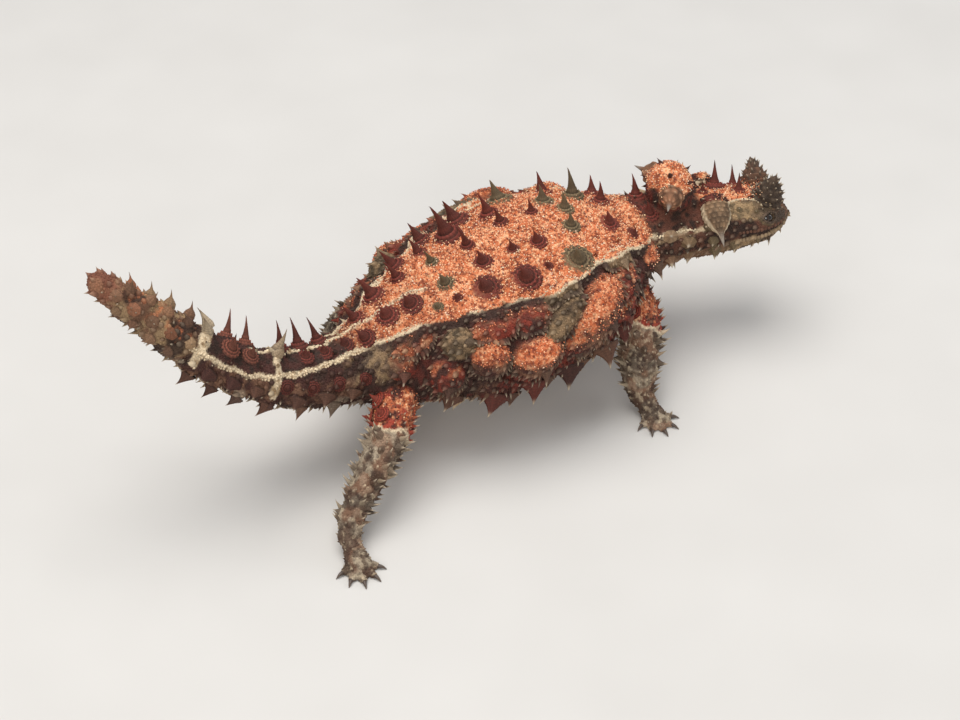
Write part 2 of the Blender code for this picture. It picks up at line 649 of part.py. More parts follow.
def build_knob():
    """False head on the nape: a dome with a broad thorn to each side."""
    point, ahead, left, up = body_frame(KNOB_PLACE)
    obj = cone("knob", point + (KNOB_FOOT + GAP) * up, up, 4.0, 3.9, 2.0, 14)
    SCRAP.objects.unlink(obj)
    MODEL.objects.link(obj)
    ball("dome", point + 9.0 * up, KNOB_RADII, (ahead, left, up), 16, 10)
    for side in (-1, 1):
        out = unit(0.9 * side * left - 0.35 * ahead + 0.1 * up)
        foot = point + 10.2 * up + side * 3.0 * left - 0.9 * ahead
        cone("mound", foot, out, 2.6, 1.6, 3.2, 9)
        cone("thorn", foot, out, 2.2, 0.0, 6.8, 7)
        thorn(point + 13.6 * up + side * 2.2 * left - 1.0 * ahead, unit(up + 0.5 * side * left), 1.0, 2.2)
    thorn(point + 12.8 * up + 3.2 * ahead, unit(up + 0.8 * ahead), 0.9, 1.8)
    combine(obj, "UNION")
    bm = bmesh.new()
    lid = Matrix.Translation([float(x) for x in point + (KNOB_FOOT + GAP - 4.98) * up]) @ aim(up)
    bmesh.ops.create_cube(bm, size=1.0, matrix=lid @ Matrix.Diagonal((40, 40, 10, 1)))
    add_object("under_knob", bm)
    combine(obj, "DIFFERENCE")
    finish(obj, "neck_knob", point + KNOB_FOOT * up, "hide_body")


def head_tube(points, radius):
    """Tube along a line of points, thinner at both ends."""
    curve = bpy.data.curves.new("line", "CURVE")
    curve.dimensions = "3D"
    curve.bevel_depth = radius * MM
    curve.bevel_resolution = 1
    curve.use_fill_caps = True
    spline = curve.splines.new("POLY")
    spline.points.add(len(points) - 1)
    for i, (target, point) in enumerate(zip(spline.points, points)):
        target.co = (*[float(x) * MM for x in point], 1)
        target.radius = 0.45 if i in (0, len(points) - 1) else 1.0
    guide = bpy.data.objects.new("line", curve)
    SCRAP.objects.link(guide)
    bpy.context.view_layer.update()
    mesh = bpy.data.meshes.new_from_object(guide.evaluated_get(bpy.context.evaluated_depsgraph_get()))
    bpy.data.objects.remove(guide)
    bm = bmesh.new()
    bm.from_mesh(mesh)
    bmesh.ops.remove_doubles(bm, verts=bm.verts, dist=0.00001)
    bmesh.ops.scale(bm, vec=(1 / MM, 1 / MM, 1 / MM), verts=bm.verts)
    return add_object("line", bm)


def mouth_line(angle, inset):
    """Points along the mouth, from one corner round the snout to the other."""
    places = np.arange(80.0, 90.5, 2.1)
    sides = [[body_point(s, side * angle) - inset * body_normal(s, side * angle) for s in places]
             for side in (-1, 1)]
    point, ahead, _, up = body_frame(LENGTHS["head"][1])
    front = point + (1.5 - inset) * ahead + math.cos(math.radians(angle)) * 2.2 * up
    return sides[0] + [front] + sides[1][::-1]


def eye_axes(side):
    out = body_normal(EYE_PLACE[0], side * EYE_PLACE[1])
    ahead = body_frame(EYE_PLACE[0])[1]
    ahead = unit(ahead - (ahead @ out) * out)
    return ahead, np.cross(out, ahead), out


def build_head():
    obj = length_loft("head")
    first = LENGTHS["head"][0]
    for side in (-1, 1):
        _, ahead, left, up = body_frame(HORN_PLACE[0])
        # Blunt horn over the eye
        foot = body_point(HORN_PLACE[0], side * HORN_PLACE[1])
        rise = unit(up + 0.5 * side * left + (0.17 - 0.13 * side) * ahead)
        cone("horn_mound", foot - 2.0 * rise, rise, 3.4, 2.7, 5.6, 9)
        cone("horn", foot + 3.5 * rise, rise, 2.7, 0.7, 3.2, 8)
        # Mound of the lids round the eye
        axes = eye_axes(side)
        centre = body_point(EYE_PLACE[0], side * EYE_PLACE[1])
        ball("lids", centre - 1.3 * axes[2], (2.6, 2.05, 2.2), axes, 10, 5)
        # Broad cone with a thin tip behind the eye, over the ear
        _, ahead, left, up = body_frame(EAR_CONE[0])
        foot = body_offset(EAR_CONE[0], side * EAR_CONE[1], EAR_CONE[2])
        out = unit(side * EAR_CONE_WAY[1] * left + EAR_CONE_WAY[2] * up + EAR_CONE_WAY[0] * ahead)
        cone("ear_mound", foot - 1.0 * out, out, 2.9, 2.1, 6.2, 9)
        cone("ear_thorn", foot + 4.9 * out, out, 1.5, 0.0, 4.7, 7)
        # Ridge from that cone to the horn, over the cheek
        _, ahead, left, up = body_frame(81.0)
        ball("ridge", body_offset(81.4, side * 5.4, 3.9), (4.8, 1.8, 1.4), (ahead, left, up), 10, 5)
        for s, angle, radius, height in HEAD_THORNS:
            thorn(body_point(s, side * angle), body_normal(s, side * angle), radius, height)
    for s, angle, radius, height in CROWN_THORNS:
        rose_thorn(body_point(s, angle), body_normal(s, angle), radius, height)
    # Rounded snout, and lips above and below the mouth
    point, ahead, left, up = body_frame(LENGTHS["head"][1])
    ball("snout", point - 0.8 * ahead, (2.2, 3.2, 2.6), (ahead, left, up), 12, 6)
    for angle, thick in ((MOUTH_ANGLE - 8, 0.6), (MOUTH_ANGLE + 9, 0.7)):
        head_tube(mouth_line(angle, 0.25), thick)
    combine(obj, "UNION")

    # Mouth, nostrils, ears and eye sockets
    head_tube(mouth_line(MOUTH_ANGLE, 0.0), 0.36)
    for side in (-1, 1):
        nostril, out = body_point(*NOSTRIL_PLACE * [1, side]), body_normal(*NOSTRIL_PLACE * [1, side])
        cone("nostril", nostril + 0.9 * out, -out, 0.42, 0.3, 2.0, 6)
        ear, out = body_point(*EAR_PLACE * [1, side]), body_normal(*EAR_PLACE * [1, side])
        ahead = body_frame(EAR_PLACE[0])[1]
        ball("ear", ear + 0.2 * out, (1.2, 0.9, 1.0), (ahead, np.cross(out, ahead), out), 8, 5)
        axes = eye_axes(side)
        lids = body_point(EYE_PLACE[0], side * EYE_PLACE[1])
        ball("socket", lids - 1.0 * axes[2], (EYE_RADIUS + GAP,) * 3, axes, 12, 8)
        ball("slit", lids + 0.4 * axes[2], (1.55, 0.95, 2.2), axes, 10, 6)
    combine(obj, "DIFFERENCE")
    finish(obj, "head", body_frame(first)[0], "hide_head")
    for side, name in ((-1, "eye_right"), (1, "eye_left")):
        axes = eye_axes(side)
        centre = body_point(EYE_PLACE[0], side * EYE_PLACE[1]) - 1.0 * axes[2]
        eye = ball(name, centre, (EYE_RADIUS,) * 3, axes, 12, 8)
        SCRAP.objects.unlink(eye)
        MODEL.objects.link(eye)
        finish(eye, name, centre, "eye_dark")


build_torso()
build_tail()
build_neck()
build_knob()
build_head()
build_legs()

# The pieces and the empty collection that held them are no part of the animal
bpy.context.scene.collection.children.unlink(SCRAP)
bpy.data.collections.remove(SCRAP)
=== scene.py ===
# %% [markdown]
# # A thorny devil, life size
# A thorny devil is a small desert lizard. Soft skin, covered with fine granules, carries broad
# based thorns in rows, and sand sticks to its back. The model is dressed in layers, as the real
# hide is: one smooth skin, a coat of granules, rows of thorns, then horns, claws and eyes.
# Lengths are millimetres and angles degrees; they turn into metres when a mesh is made.

# %% Load the frame
import json
import math
import random

import bpy
import numpy as np
from mathutils import Matrix, Vector
from mathutils.bvhtree import BVHTree
from mathutils.kdtree import KDTree

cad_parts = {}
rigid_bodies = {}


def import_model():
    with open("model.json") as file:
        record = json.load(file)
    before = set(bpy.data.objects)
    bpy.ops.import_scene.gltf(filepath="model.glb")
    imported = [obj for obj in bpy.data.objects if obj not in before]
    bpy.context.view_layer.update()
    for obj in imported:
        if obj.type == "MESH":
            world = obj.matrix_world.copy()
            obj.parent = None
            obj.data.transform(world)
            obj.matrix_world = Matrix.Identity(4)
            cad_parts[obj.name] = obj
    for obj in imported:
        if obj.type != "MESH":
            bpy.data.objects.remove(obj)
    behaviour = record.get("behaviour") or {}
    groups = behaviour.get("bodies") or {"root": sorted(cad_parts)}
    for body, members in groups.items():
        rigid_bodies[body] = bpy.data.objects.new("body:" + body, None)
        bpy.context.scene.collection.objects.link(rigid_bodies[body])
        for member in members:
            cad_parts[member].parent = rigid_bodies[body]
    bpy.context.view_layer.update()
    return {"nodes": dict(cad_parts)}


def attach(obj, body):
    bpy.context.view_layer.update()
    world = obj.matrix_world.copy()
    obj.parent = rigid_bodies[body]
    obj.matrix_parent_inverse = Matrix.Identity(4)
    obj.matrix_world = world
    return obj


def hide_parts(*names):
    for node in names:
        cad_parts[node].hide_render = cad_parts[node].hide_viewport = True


for old in list(bpy.data.objects):
    bpy.data.objects.remove(old)
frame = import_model()
MM = 0.001

# %% [markdown]
# ## Camera, floor and lights
# The animal was seen from above and a little behind its right side. A long lens a short way off
# keeps its proportions natural. Large soft lights over a pale floor act like an overcast sky,
# which is the light that a dry granular hide looks best in.


# %% Camera
def unit(v):
    """Vectors made one long."""
    return v / np.linalg.norm(v, axis=-1, keepdims=True)


def place_camera(azimuth, elevation, target, distance, lens):
    """Camera at a distance from the target, in the direction that the two angles give."""
    azimuth, elevation = math.radians(azimuth), math.radians(elevation)
    back = Vector((math.sin(azimuth) * math.cos(elevation),
                   -math.cos(azimuth) * math.cos(elevation), math.sin(elevation)))
    right = Vector((math.cos(azimuth), math.sin(azimuth), 0))
    up = back.cross(right)
    data = bpy.data.cameras.new("camera")
    data.lens, data.sensor_width, data.clip_start = lens, 36.0, 0.01
    camera = bpy.data.objects.new("camera", data)
    camera.matrix_world = Matrix.Translation((Vector(target) + back * distance) * MM) @ Matrix(
        (right, up, back)).transposed().to_4x4()
    bpy.context.scene.collection.objects.link(camera)
    bpy.context.scene.camera = camera


place_camera(-35.0, 38.0, (3.9, -1.4, 8.0), 400.0, 75.0)
print("camera in mm:", [round(x / MM) for x in bpy.context.scene.camera.matrix_world.translation])


# %% Lights
def soft_light(name, place, width, watts, colour):
    """Square lamp that faces the middle of the animal."""
    data = bpy.data.lights.new(name, "AREA")
    data.size, data.energy, data.color = width * MM, watts, colour
    lamp = bpy.data.objects.new(name, data)
    middle = Vector((0, 0, 15))
    aim = Vector(place) - middle
    turn = aim.to_track_quat("Z", "Y").to_matrix().to_4x4()
    lamp.matrix_world = Matrix.Translation(Vector(place) * MM) @ turn
    bpy.context.scene.collection.objects.link(lamp)


soft_light("sky", (-60, 60, 620), 520, 3.4, (1.0, 0.98, 0.95))
soft_light("front", (-420, -520, 330), 380, 1.7, (1.0, 0.97, 0.93))
soft_light("side", (560, -160, 300), 300, 0.7, (0.93, 0.96, 1.0))
world = bpy.data.worlds.new("room")
world.use_nodes = True
world.node_tree.nodes["Background"].inputs["Color"].default_value = (0.92, 0.95, 1.0, 1)
world.node_tree.nodes["Background"].inputs["Strength"].default_value = 0.42
bpy.context.scene.world = world
bpy.context.scene.view_settings.view_transform = "Standard"

# %% [markdown]
# ## Shader maths
# A material is a tree of nodes. Wrapping each output in a small class lets ordinary sums, such as
# 0.7 + 0.2 * grain, add the Math nodes, so a finish reads as the formula that it is.


# %% Class for materials
class Wire:
    """One output of a node; a sum on it adds a Math node."""

    def __init__(self, finish, socket):
        self.finish, self.socket = finish, socket

    def sum(self, operation, first, second):
        return self.finish.node("ShaderNodeMath", {"operation": operation}, {0: first, 1: second})

    def __add__(self, other):
        return self.sum("ADD", self, other)

    def __mul__(self, other):
        return self.sum("MULTIPLY", self, other)

    def __pow__(self, other):
        return self.sum("POWER", self, other)

    __radd__, __rmul__ = __add__, __mul__


class Finish:
    """A material, built node by node."""

    def __init__(self, name):
        self.material = bpy.data.materials.new(name)
        self.material.use_nodes = True
        self.tree = self.material.node_tree
        self.shader = self.tree.nodes["Principled BSDF"]
        self.place = self.node("ShaderNodeTexCoord", out="Object")

    def feed(self, socket, value):
        if isinstance(value, Wire):
            self.tree.links.new(value.socket, socket)
        else:
            socket.default_value = value

    def node(self, kind, settings=None, sockets=None, out=0):
        """Add a node: first its settings, then its sockets; the result is one of its outputs."""
        node = self.tree.nodes.new(kind)
        for key, value in (settings or {}).items():
            setattr(node, key, value)
        for key, value in (sockets or {}).items():
            self.feed(node.inputs[key], value)
        return Wire(self, node.outputs[out])

    def grain(self, size, detail=2.0):
        """Smooth random value between 0 and 1 whose spots are about the size in mm."""
        return self.node("ShaderNodeTexNoise", None, {"Vector": self.place, "Scale": 1 / (size * MM),
                                                      "Detail": detail, "Roughness": 0.6})

    def mix(self, first, second, share, blend="MIX"):
        """Colour between two colours."""
        return self.node("ShaderNodeMix", {"data_type": "RGBA", "blend_type": blend},
                         {0: share, 6: first, 7: second}, 2)

    def set(self, **inputs):
        for key, value in inputs.items():
            self.feed(self.shader.inputs[key.replace("_", " ")], value)
        return self.material

    def bump(self, height, strength, depth):
        """Normal tipped by a height; the depth is in mm."""
        return self.node("ShaderNodeBump", None,
                         {"Strength": strength, "Distance": depth * MM, "Height": height})


def rgb(red, green, blue):
    """Linear colour of a screen colour from 0 to 255."""
    value = np.array([red, green, blue]) / 255
    return np.where(value > 0.04045, ((value + 0.055) / 1.055) ** 2.4, value / 12.92)


# %% Floor
def make_floor():
    finish = Finish("floor_pale")
    shade = finish.grain(40.0)
    colour = finish.mix((0.62, 0.60, 0.57, 1), (0.70, 0.68, 0.65, 1), shade)
    finish.set(Base_Color=colour, Roughness=0.9)
    size = 1.6
    corners = [(-size, -size, 0), (size, -size, 0), (size, size, 0), (-size, size, 0)]
    mesh = bpy.data.meshes.new("floor")
    mesh.from_pydata(corners, [], [(0, 1, 2, 3)])
    mesh.materials.append(finish.material)
    floor = bpy.data.objects.new("floor", mesh)
    bpy.context.scene.collection.objects.link(floor)


make_floor()
print("floor and", len(bpy.data.lights), "lights ready")

# %% [markdown]
# ## The shape in numbers
# The body is a run of cross sections along a bent line. Each section is a squared ellipse, flatter
# below than above. The same formula places everything else: a thorn, a scale or a marking is
# given by its distance along the body and its angle from the back, so it stays where it belongs
# when the animal bends.

# %% Sections of the body
# Place of the hips on the floor, and their height over it
SHIFT, HIP_HEIGHT = np.array([-18.13, -1.41, 0.0]), 19.5
# Distance forward from the hips, turn left, climb, half width, above, below, squareness
BODY = np.array([
    (-66, -20, -50, 2.5, 2.5, 2.2, 2.0), (-54, -20, -50, 3.8, 3.8, 3.2, 2.0),
    (-40, -16, -44, 4.8, 4.7, 4.0, 2.0), (-26, -8, -28, 5.6, 5.4, 4.6, 2.0),
    (-12, 0, -9, 7.2, 6.8, 5.8, 2.0), (0, 0, 2, 12, 10.5, 9, 2.1), (16, 0, 6, 20, 13, 12, 2.2),
    (34, 0, 6, 21.5, 13.5, 12.5, 2.2), (50, -4, 4, 15.8, 10.5, 10, 2.1),
    (60, -10, 2, 9.6, 7.4, 7.2, 2.0), (68, -18, 0, 8.2, 6.2, 6, 2.2),
    (76, -24, 0, 8.8, 6.4, 6, 2.5), (84, -26, 2, 8.2, 5.8, 5.2, 2.5),
    (88.6, -27, 4, 6.2, 4.5, 4.3, 2.3), (91, -28, 6, 3.4, 2.7, 2.8, 2.1)], float)
STATION, TURN, CLIMB, HALF_WIDTH, ABOVE, BELOW, SQUARE = BODY.T
TAIL_END, SNOUT_END = STATION[0], STATION[-1]
# The head is rolled so that its right cheek faces up: roll in degrees by distance
ROLL_AT, ROLL = (69.0, 79.0), (0.0, 16.0)


def blend(at, stations, values):
    """Smooth curve through the stations that never swings past them: cubic pieces whose slopes are
    the harmonic means of the slopes on either side."""
    x, y = np.asarray(stations, float), np.asarray(values, float)
    step = np.diff(x)
    rise = np.diff(y) / step
    before, after = 2 * step[1:] + step[:-1], step[1:] + 2 * step[:-1]
    same = rise[:-1] * rise[1:] > 0
    safe = np.where(same[:, None], np.stack([rise[:-1], rise[1:]], 1), 1.0)
    inner = np.where(same, (before + after) / (before / safe[:, 0] + after / safe[:, 1]), 0.0)
    slope = np.r_[rise[0], inner, rise[-1]]
    at = np.clip(np.asarray(at, float), x[0], x[-1])
    i = np.clip(np.searchsorted(x, at, side="right") - 1, 0, len(x) - 2)
    t = (at - x[i]) / step[i]
    near = (2 * t**3 - 3 * t**2 + 1) * y[i] + (t**3 - 2 * t**2 + t) * step[i] * slope[i]
    return near + (3 * t**2 - 2 * t**3) * y[i + 1] + (t**3 - t**2) * step[i] * slope[i + 1]


def centre_line():
    """Walk along the body in small steps, turning and climbing as the stations say."""
    step = 0.25
    along = np.arange(TAIL_END, SNOUT_END + 0.1, step)
    turn, climb = np.radians(blend(along, STATION, TURN)), np.radians(blend(along, STATION, CLIMB))
    ahead = np.stack([np.cos(climb) * np.cos(turn), np.cos(climb) * np.sin(turn), np.sin(climb)], 1)
    points = np.vstack([[0, 0, 0], np.cumsum(0.5 * step * (ahead[1:] + ahead[:-1]), 0)])
    hips = np.array([np.interp(0.0, along, points[:, k]) for k in range(3)])
    return along, points - hips + [0, 0, HIP_HEIGHT] + SHIFT, ahead


ALONG, LINE, AHEAD = centre_line()


def body_frame(s):
    """Point of the centre line at distance s, with the directions ahead, left and up."""
    point = np.stack([np.interp(s, ALONG, LINE[:, k]) for k in range(3)], -1)
    ahead = unit(np.stack([np.interp(s, ALONG, AHEAD[:, k]) for k in range(3)], -1))
    level = unit(np.cross([0, 0, 1.0], ahead))
    roll = np.radians(np.interp(s, ROLL_AT, ROLL))[..., None]
    left = np.cos(roll) * level - np.sin(roll) * np.cross(ahead, level)
    return point, ahead, left, np.cross(ahead, left)


def ahead_at(s):
    """Direction ahead along the centre line at distance s."""
    return body_frame(s)[1]


def power(value, exponent):
    """Power of the size of a number, with the sign of the number."""
    return np.sign(value) * np.abs(value) ** exponent


def body_point(s, angle):
    """Squared ellipse: half width times sin(angle)^(2/squareness) to the side, and height times
    cos(angle)^(2/squareness) up. Angle 0 is the back, 90 the left side, 180 the belly."""
    s, angle = np.broadcast_arrays(np.asarray(s, float), np.radians(angle))
    point, _, left, up = body_frame(s)
    bend = 2 / blend(s, STATION, SQUARE)
    height = np.where(np.cos(angle) > 0, blend(s, STATION, ABOVE), blend(s, STATION, BELOW))
    side = blend(s, STATION, HALF_WIDTH) * power(np.sin(angle), bend)
    rise = height * power(np.cos(angle), bend)
    return point + side[..., None] * left + rise[..., None] * up


def mean_reach(s):
    """Mean of half width and height in mm, which turns an angle round the body into a length."""
    return 0.5 * (blend(s, STATION, HALF_WIDTH) + blend(s, STATION, ABOVE))


def body_normal(s, angle):
    """Direction out of the body: the step along it crossed with the step round it."""
    along = body_point(np.asarray(s) + 0.5, angle) - body_point(np.asarray(s) - 0.5, angle)
    around = body_point(s, np.asarray(angle) + 2.0) - body_point(s, np.asarray(angle) - 2.0)
    return unit(np.cross(along, around))


def body_offset(s, side, rise):
    """Point beside and above the centre line, in the section at distance s."""
    point, _, left, up = body_frame(s)
    return point + side * left + rise * up


print("length along the body in mm:", SNOUT_END - TAIL_END)

# %% Legs
# Points from root to foot, measured from the place of the hips on the floor, and half thickness
LEGS = {
    "hind_right": ([(0, -5, 17), (-5, -11, 16), (-10, -16, 13.2), (-17.2, -19.2, 8.4),
                    (-23.5, -23, 3.6), (-25.2, -28.5, 1.3)], [4.6, 4.2, 3.6, 3.1, 2.3, 2.0]),
    "hind_left": ([(0, 5, 17), (2.5, 13, 16.2), (7, 21.5, 13.2), (5.8, 25.5, 8.6),
                   (5, 28.5, 3.6), (8.6, 32, 1.3)], [4.6, 4.2, 3.6, 3.1, 2.3, 2.0]),
    "fore_right": ([(54, -4, 18.5), (52.5, -12, 15.4), (49.4, -17, 12.4), (46.8, -19.8, 8.2),
                    (45.6, -22.6, 3.6), (45.2, -26.4, 1.3)], [3.4, 3.9, 3.9, 4.0, 2.8, 2.2]),
    "fore_left": ([(54, 4, 18.5), (55.5, 12, 15.4), (55, 18.5, 12.4), (58.5, 21.5, 8.2),
                   (61, 24, 3.6), (64.2, 26.6, 1.3)], [3.4, 3.8, 3.5, 3.6, 2.5, 2.1]),
}


class Leg:
    """A leg's own centre line, half thickness and directions, by distance from its root."""

    def __init__(self, points, radii):
        points = np.array(points, float) + SHIFT
        self.knots = np.r_[0, np.cumsum(np.linalg.norm(np.diff(points, axis=0), axis=1))]
        self.points, self.radii, self.length = points, radii, self.knots[-1]

    def at(self, t):
        return np.stack([blend(t, self.knots, self.points[:, k]) for k in range(3)], -1)

    def frame(self, t):
        t = np.asarray(t, float)
        reach = 2.2
        ahead = unit(self.at(np.minimum(t + reach, self.length)) - self.at(np.maximum(t - reach, 0)))
        left = unit(np.cross([0, 0, 1.0], ahead))
        return self.at(t), ahead, left, np.cross(ahead, left)

    def radius(self, t):
        return blend(t, self.knots, self.radii)

    def skin(self, t, angle):
        """Circle of the leg's half thickness round its centre line, and the way out of it."""
        point, _, left, up = self.frame(t)
        angle = np.radians(angle)
        out = np.sin(angle)[..., None] * left + np.cos(angle)[..., None] * up
        return point + self.radius(t)[..., None] * out, out


LEG = {name: Leg(*spec) for name, spec in LEGS.items()}
print("leg lengths in mm:", {name: round(leg.length, 1) for name, leg in LEG.items()})

# %% [markdown]
# ## Rows of thorns
# The thorns of the real animal stand in rows along the body, largest on the flanks. Each one sits
# on a raised disc of small scales, like a limpet. Their places come first, because the skin
# swells under every thorn and the colours change round it.

# %% Thorns of the back and swellings of the flank
# Kinds: discs maroon and olive, four sorts of fold, then thorns of the neck, belly and tail
DISC, OLIVE_DISC, MAROON_FOLD, OLIVE_FOLD, SANDY_FOLD, LEAF_FOLD = range(6)
SIDE_THORN, LOW_THORN, PALE_THORN, LOBE, LUMP = range(6, 11)
BOTH, RIGHT, LEFT = (-1, 1), (-1,), (1,)
# Distance, angle (right is negative), radius of the disc, height of the thorn, kind
BACK_THORNS = [
    (60.9, -19.7, 2.1, 3.2, DISC), (49.9, -19.6, 2.2, 3.2, DISC), (41.9, -11.3, 1.9, 3.4, OLIVE_DISC),
    (44.3, 3.0, 1.9, 4.0, OLIVE_DISC), (33.5, -11.8, 1.85, 3.2, DISC), (28.5, -8.8, 1.4, 2.8, DISC),
    (21.9, -7.6, 2.1, 3.6, DISC), (37.5, -34.2, 3.1, 3.6, OLIVE_DISC), (18.5, -24.3, 3.0, 4.0, DISC),
    (26.3, -29.5, 2.9, 4.0, DISC), (31.5, -28.8, 1.0, 1.4, DISC), (13.1, -8.2, 1.8, 3.2, OLIVE_DISC),
    (12.9, -20.7, 1.0, 1.5, DISC), (5.0, -9.4, 2.3, 3.2, DISC), (-0.2, -7.8, 2.3, 3.2, DISC),
    (8.7, -21.3, 1.1, 1.4, OLIVE_DISC), (31.6, 10.3, 1.5, 4.0, DISC), (38.2, 7.9, 1.3, 3.2, DISC),
    (52.8, 6.9, 1.8, 4.2, DISC), (61.2, 17.8, 1.9, 4.8, DISC), (31.8, 22.1, 2.0, 5.0, DISC),
    (21.8, 21.9, 2.8, 7.4, DISC), (22.4, 5.8, 1.5, 5.2, DISC), (42.5, 16.4, 2.2, 3.6, OLIVE_DISC),
    (48.9, 19.0, 2.2, 5.8, OLIVE_DISC), (14.6, 8.9, 1.4, 3.6, OLIVE_DISC), (14.7, 22.4, 1.7, 4.2, DISC),
    (7.5, 17.0, 1.5, 5.0, DISC), (1.3, 21.6, 2.4, 5.4, DISC), (-5.0, 14.0, 1.9, 4.6, DISC),
    (-6.4, -17.0, 1.9, 3.4, DISC), (54.2, -38.0, 1.3, 1.8, DISC), (26.6, 36.0, 2.8, 4.8, DISC),
    (36.8, 35.0, 2.8, 4.4, OLIVE_DISC), (18.0, 37.0, 2.3, 4.4, DISC), (45.6, 38.0, 2.2, 4.2, DISC),
    (9.6, 32.0, 2.2, 4.4, DISC), (53.8, 30.0, 1.9, 3.6, DISC)]
# Distance, angle, half length, half height, tilt up towards the head, swelling, kind, spine height
FLANK_FOLDS = [
    (1.0, 44, 4.6, 3.0, 0, 1.8, MAROON_FOLD, 1.8), (15.4, 51, 5.2, 3.3, 0, 2.2, MAROON_FOLD, 0.0),
    (22.8, 56, 4.0, 3.0, 20, 2.2, MAROON_FOLD, 0.0), (30.2, 49, 4.6, 2.4, 8, 2.1, OLIVE_FOLD, 2.2),
    (46.3, 50, 4.4, 2.6, 0, 2.0, OLIVE_FOLD, 2.8), (8.1, 55, 3.2, 3.6, 70, 2.5, OLIVE_FOLD, 2.4),
    (12.2, 72, 4.0, 3.8, 0, 3.3, SANDY_FOLD, 0.0), (20.9, 83, 5.6, 4.3, 0, 4.0, SANDY_FOLD, 2.6),
    (27.8, 66, 7.0, 2.7, 30, 2.9, OLIVE_FOLD, 0.0), (35.0, 75, 9.0, 4.2, 33, 3.9, SANDY_FOLD, 2.2),
    (45.0, 68, 5.0, 3.0, 25, 2.4, MAROON_FOLD, 1.8), (4.4, 82, 3.8, 3.6, 0, 2.8, MAROON_FOLD, 2.6),
    (57.0, 78, 2.8, 2.8, 0, 1.8, SANDY_FOLD, 3.0), (-2.6, 64, 3.4, 3.0, 0, 1.9, MAROON_FOLD, 2.4),
    (43.4, 90, 3.6, 3.0, 0, 2.2, MAROON_FOLD, 2.0), (28.6, 88, 3.0, 2.6, 20, 2.4, MAROON_FOLD, 1.6)]
# Leaf thorns of the lower flank: distance, angle, radius, height
LEAF_THORNS = [(12.0, 105, 3.4, 5.0), (20.0, 108, 3.2, 4.8), (27.4, 106, 3.8, 5.2), (36.0, 104, 3.4, 5.2),
               (42.4, 108, 2.8, 4.2), (5.0, 104, 2.8, 4.0), (16.5, 122, 2.4, 3.2), (25.0, 124, 2.4, 3.2),
               (33.0, 124, 2.2, 2.8)]
# Rows on tail, neck and belly: kind, angle at the first and last place, radius, height, places, sides
ROWS = [
    (DISC, 9, 9, 1.8, 2.3, (-20.2, -15.6, -10.8), RIGHT), (DISC, 25, 22, 1.7, 2.8, (-38.4, -33.4), RIGHT),
    (DISC, 30, 26, 1.6, 5.0, (-38.0, -33.0, -24.2, -19.4, -14.4), LEFT),
    (PALE_THORN, 9, 7, 1.1, 4.0, (-44.2, -27.0), BOTH),
    (LOBE, 90, 84, 2.2, 2.4, (-40.4, -35.4, -30.6, -22.6, -17.2, -12.0), BOTH),
    (LOBE, 126, 118, 1.8, 3.0, (-42.6, -37.6, -32.6, -27.0, -20.6, -14.8), BOTH),
    (LUMP, 22, 18, 1.5, 2.8, (-61.6, -57.4, -53.2, -48.8), BOTH),
    (LUMP, 66, 60, 1.8, 1.5, (-63.4, -59.4, -55.2, -51.0, -46.8), BOTH),
    (LUMP, 112, 106, 1.6, 1.9, (-61.4, -57.4, -53.4, -49.2), BOTH),
    (SIDE_THORN, 64, 78, 2.1, 3.4, (63.4, 68), BOTH), (LOW_THORN, 104, 106, 1.7, 2.6, (63, 68.4), BOTH),
    (LOW_THORN, 138, 140, 1.9, 2.4, (8, 17, 26, 35, 44), BOTH),
    (DISC, 76, 70, 1.3, 1.6, (-25.0, -19.9, -14.6, -9.4), BOTH)]
# How far the far flank and its rows are moved ahead in mm, so that the sides differ a little
FAR_SHIFT, FAR_ROW_SHIFT = 1.3, 0.8


def all_thorns():
    """One row per thorn or fold: distance, angle, half length, half height, tilt, swelling, kind,
    thorn radius and thorn height. The far flank is the near one, mirrored and moved a little."""
    table = [(s, a, 1.35 * r, 1.35 * r, 0, 0.2 * h, kind, r, h) for s, a, r, h, kind in BACK_THORNS]
    draw = random.Random(4)
    for side in (-1, 1):
        shift = 0.0 if side < 0 else FAR_SHIFT
        for s, a, long, high, tilt, lift, kind, spine in FLANK_FOLDS:
            a = a + (0 if side < 0 else draw.uniform(-3, 3))
            table.append((s + shift, side * a, long, high, tilt, lift, kind, 0.3 + 0.35 * spine, spine))
        for s, a, r, h in LEAF_THORNS:
            table.append((s + shift, side * a, 1.3 * r, 1.2 * r, 0, 0.32 * h, LEAF_FOLD, 0.8 * r, 0.8 * h))
        for kind, first, last, r, h, places, sides in ROWS:
            for s in places if side in sides else ():
                a = side * np.interp(s, (places[0], places[-1]), (first, last)) + draw.uniform(-2.5, 2.5)
                size = draw.uniform(0.9, 1.1)
                s = s + (0 if side < 0 or len(sides) < 2 else FAR_ROW_SHIFT)
                table.append((s, a, 1.3 * r * size, 1.3 * r * size, 0, 0.22 * h, kind, r * size, h * size))
    return np.array(table, float)


THORNS = all_thorns()
THORN_S, THORN_ANGLE, HALF_LONG, HALF_HIGH, TILT, LIFT, KIND, THORN_WIDE, THORN_TALL = THORNS.T
KIND = KIND.astype(int)
THORN_ROOTS, THORN_NORMALS = body_point(THORN_S, THORN_ANGLE), body_normal(THORN_S, THORN_ANGLE)
# How soon a swelling falls off from its middle: a low power makes it full, a high one peaked
FULLNESS = np.where(np.isin(KIND, (MAROON_FOLD, OLIVE_FOLD, SANDY_FOLD)), 0.6, 2.0)
LEG_LINE = np.vstack([leg.at(np.arange(6, leg.length, 0.7)) for leg in LEG.values()])


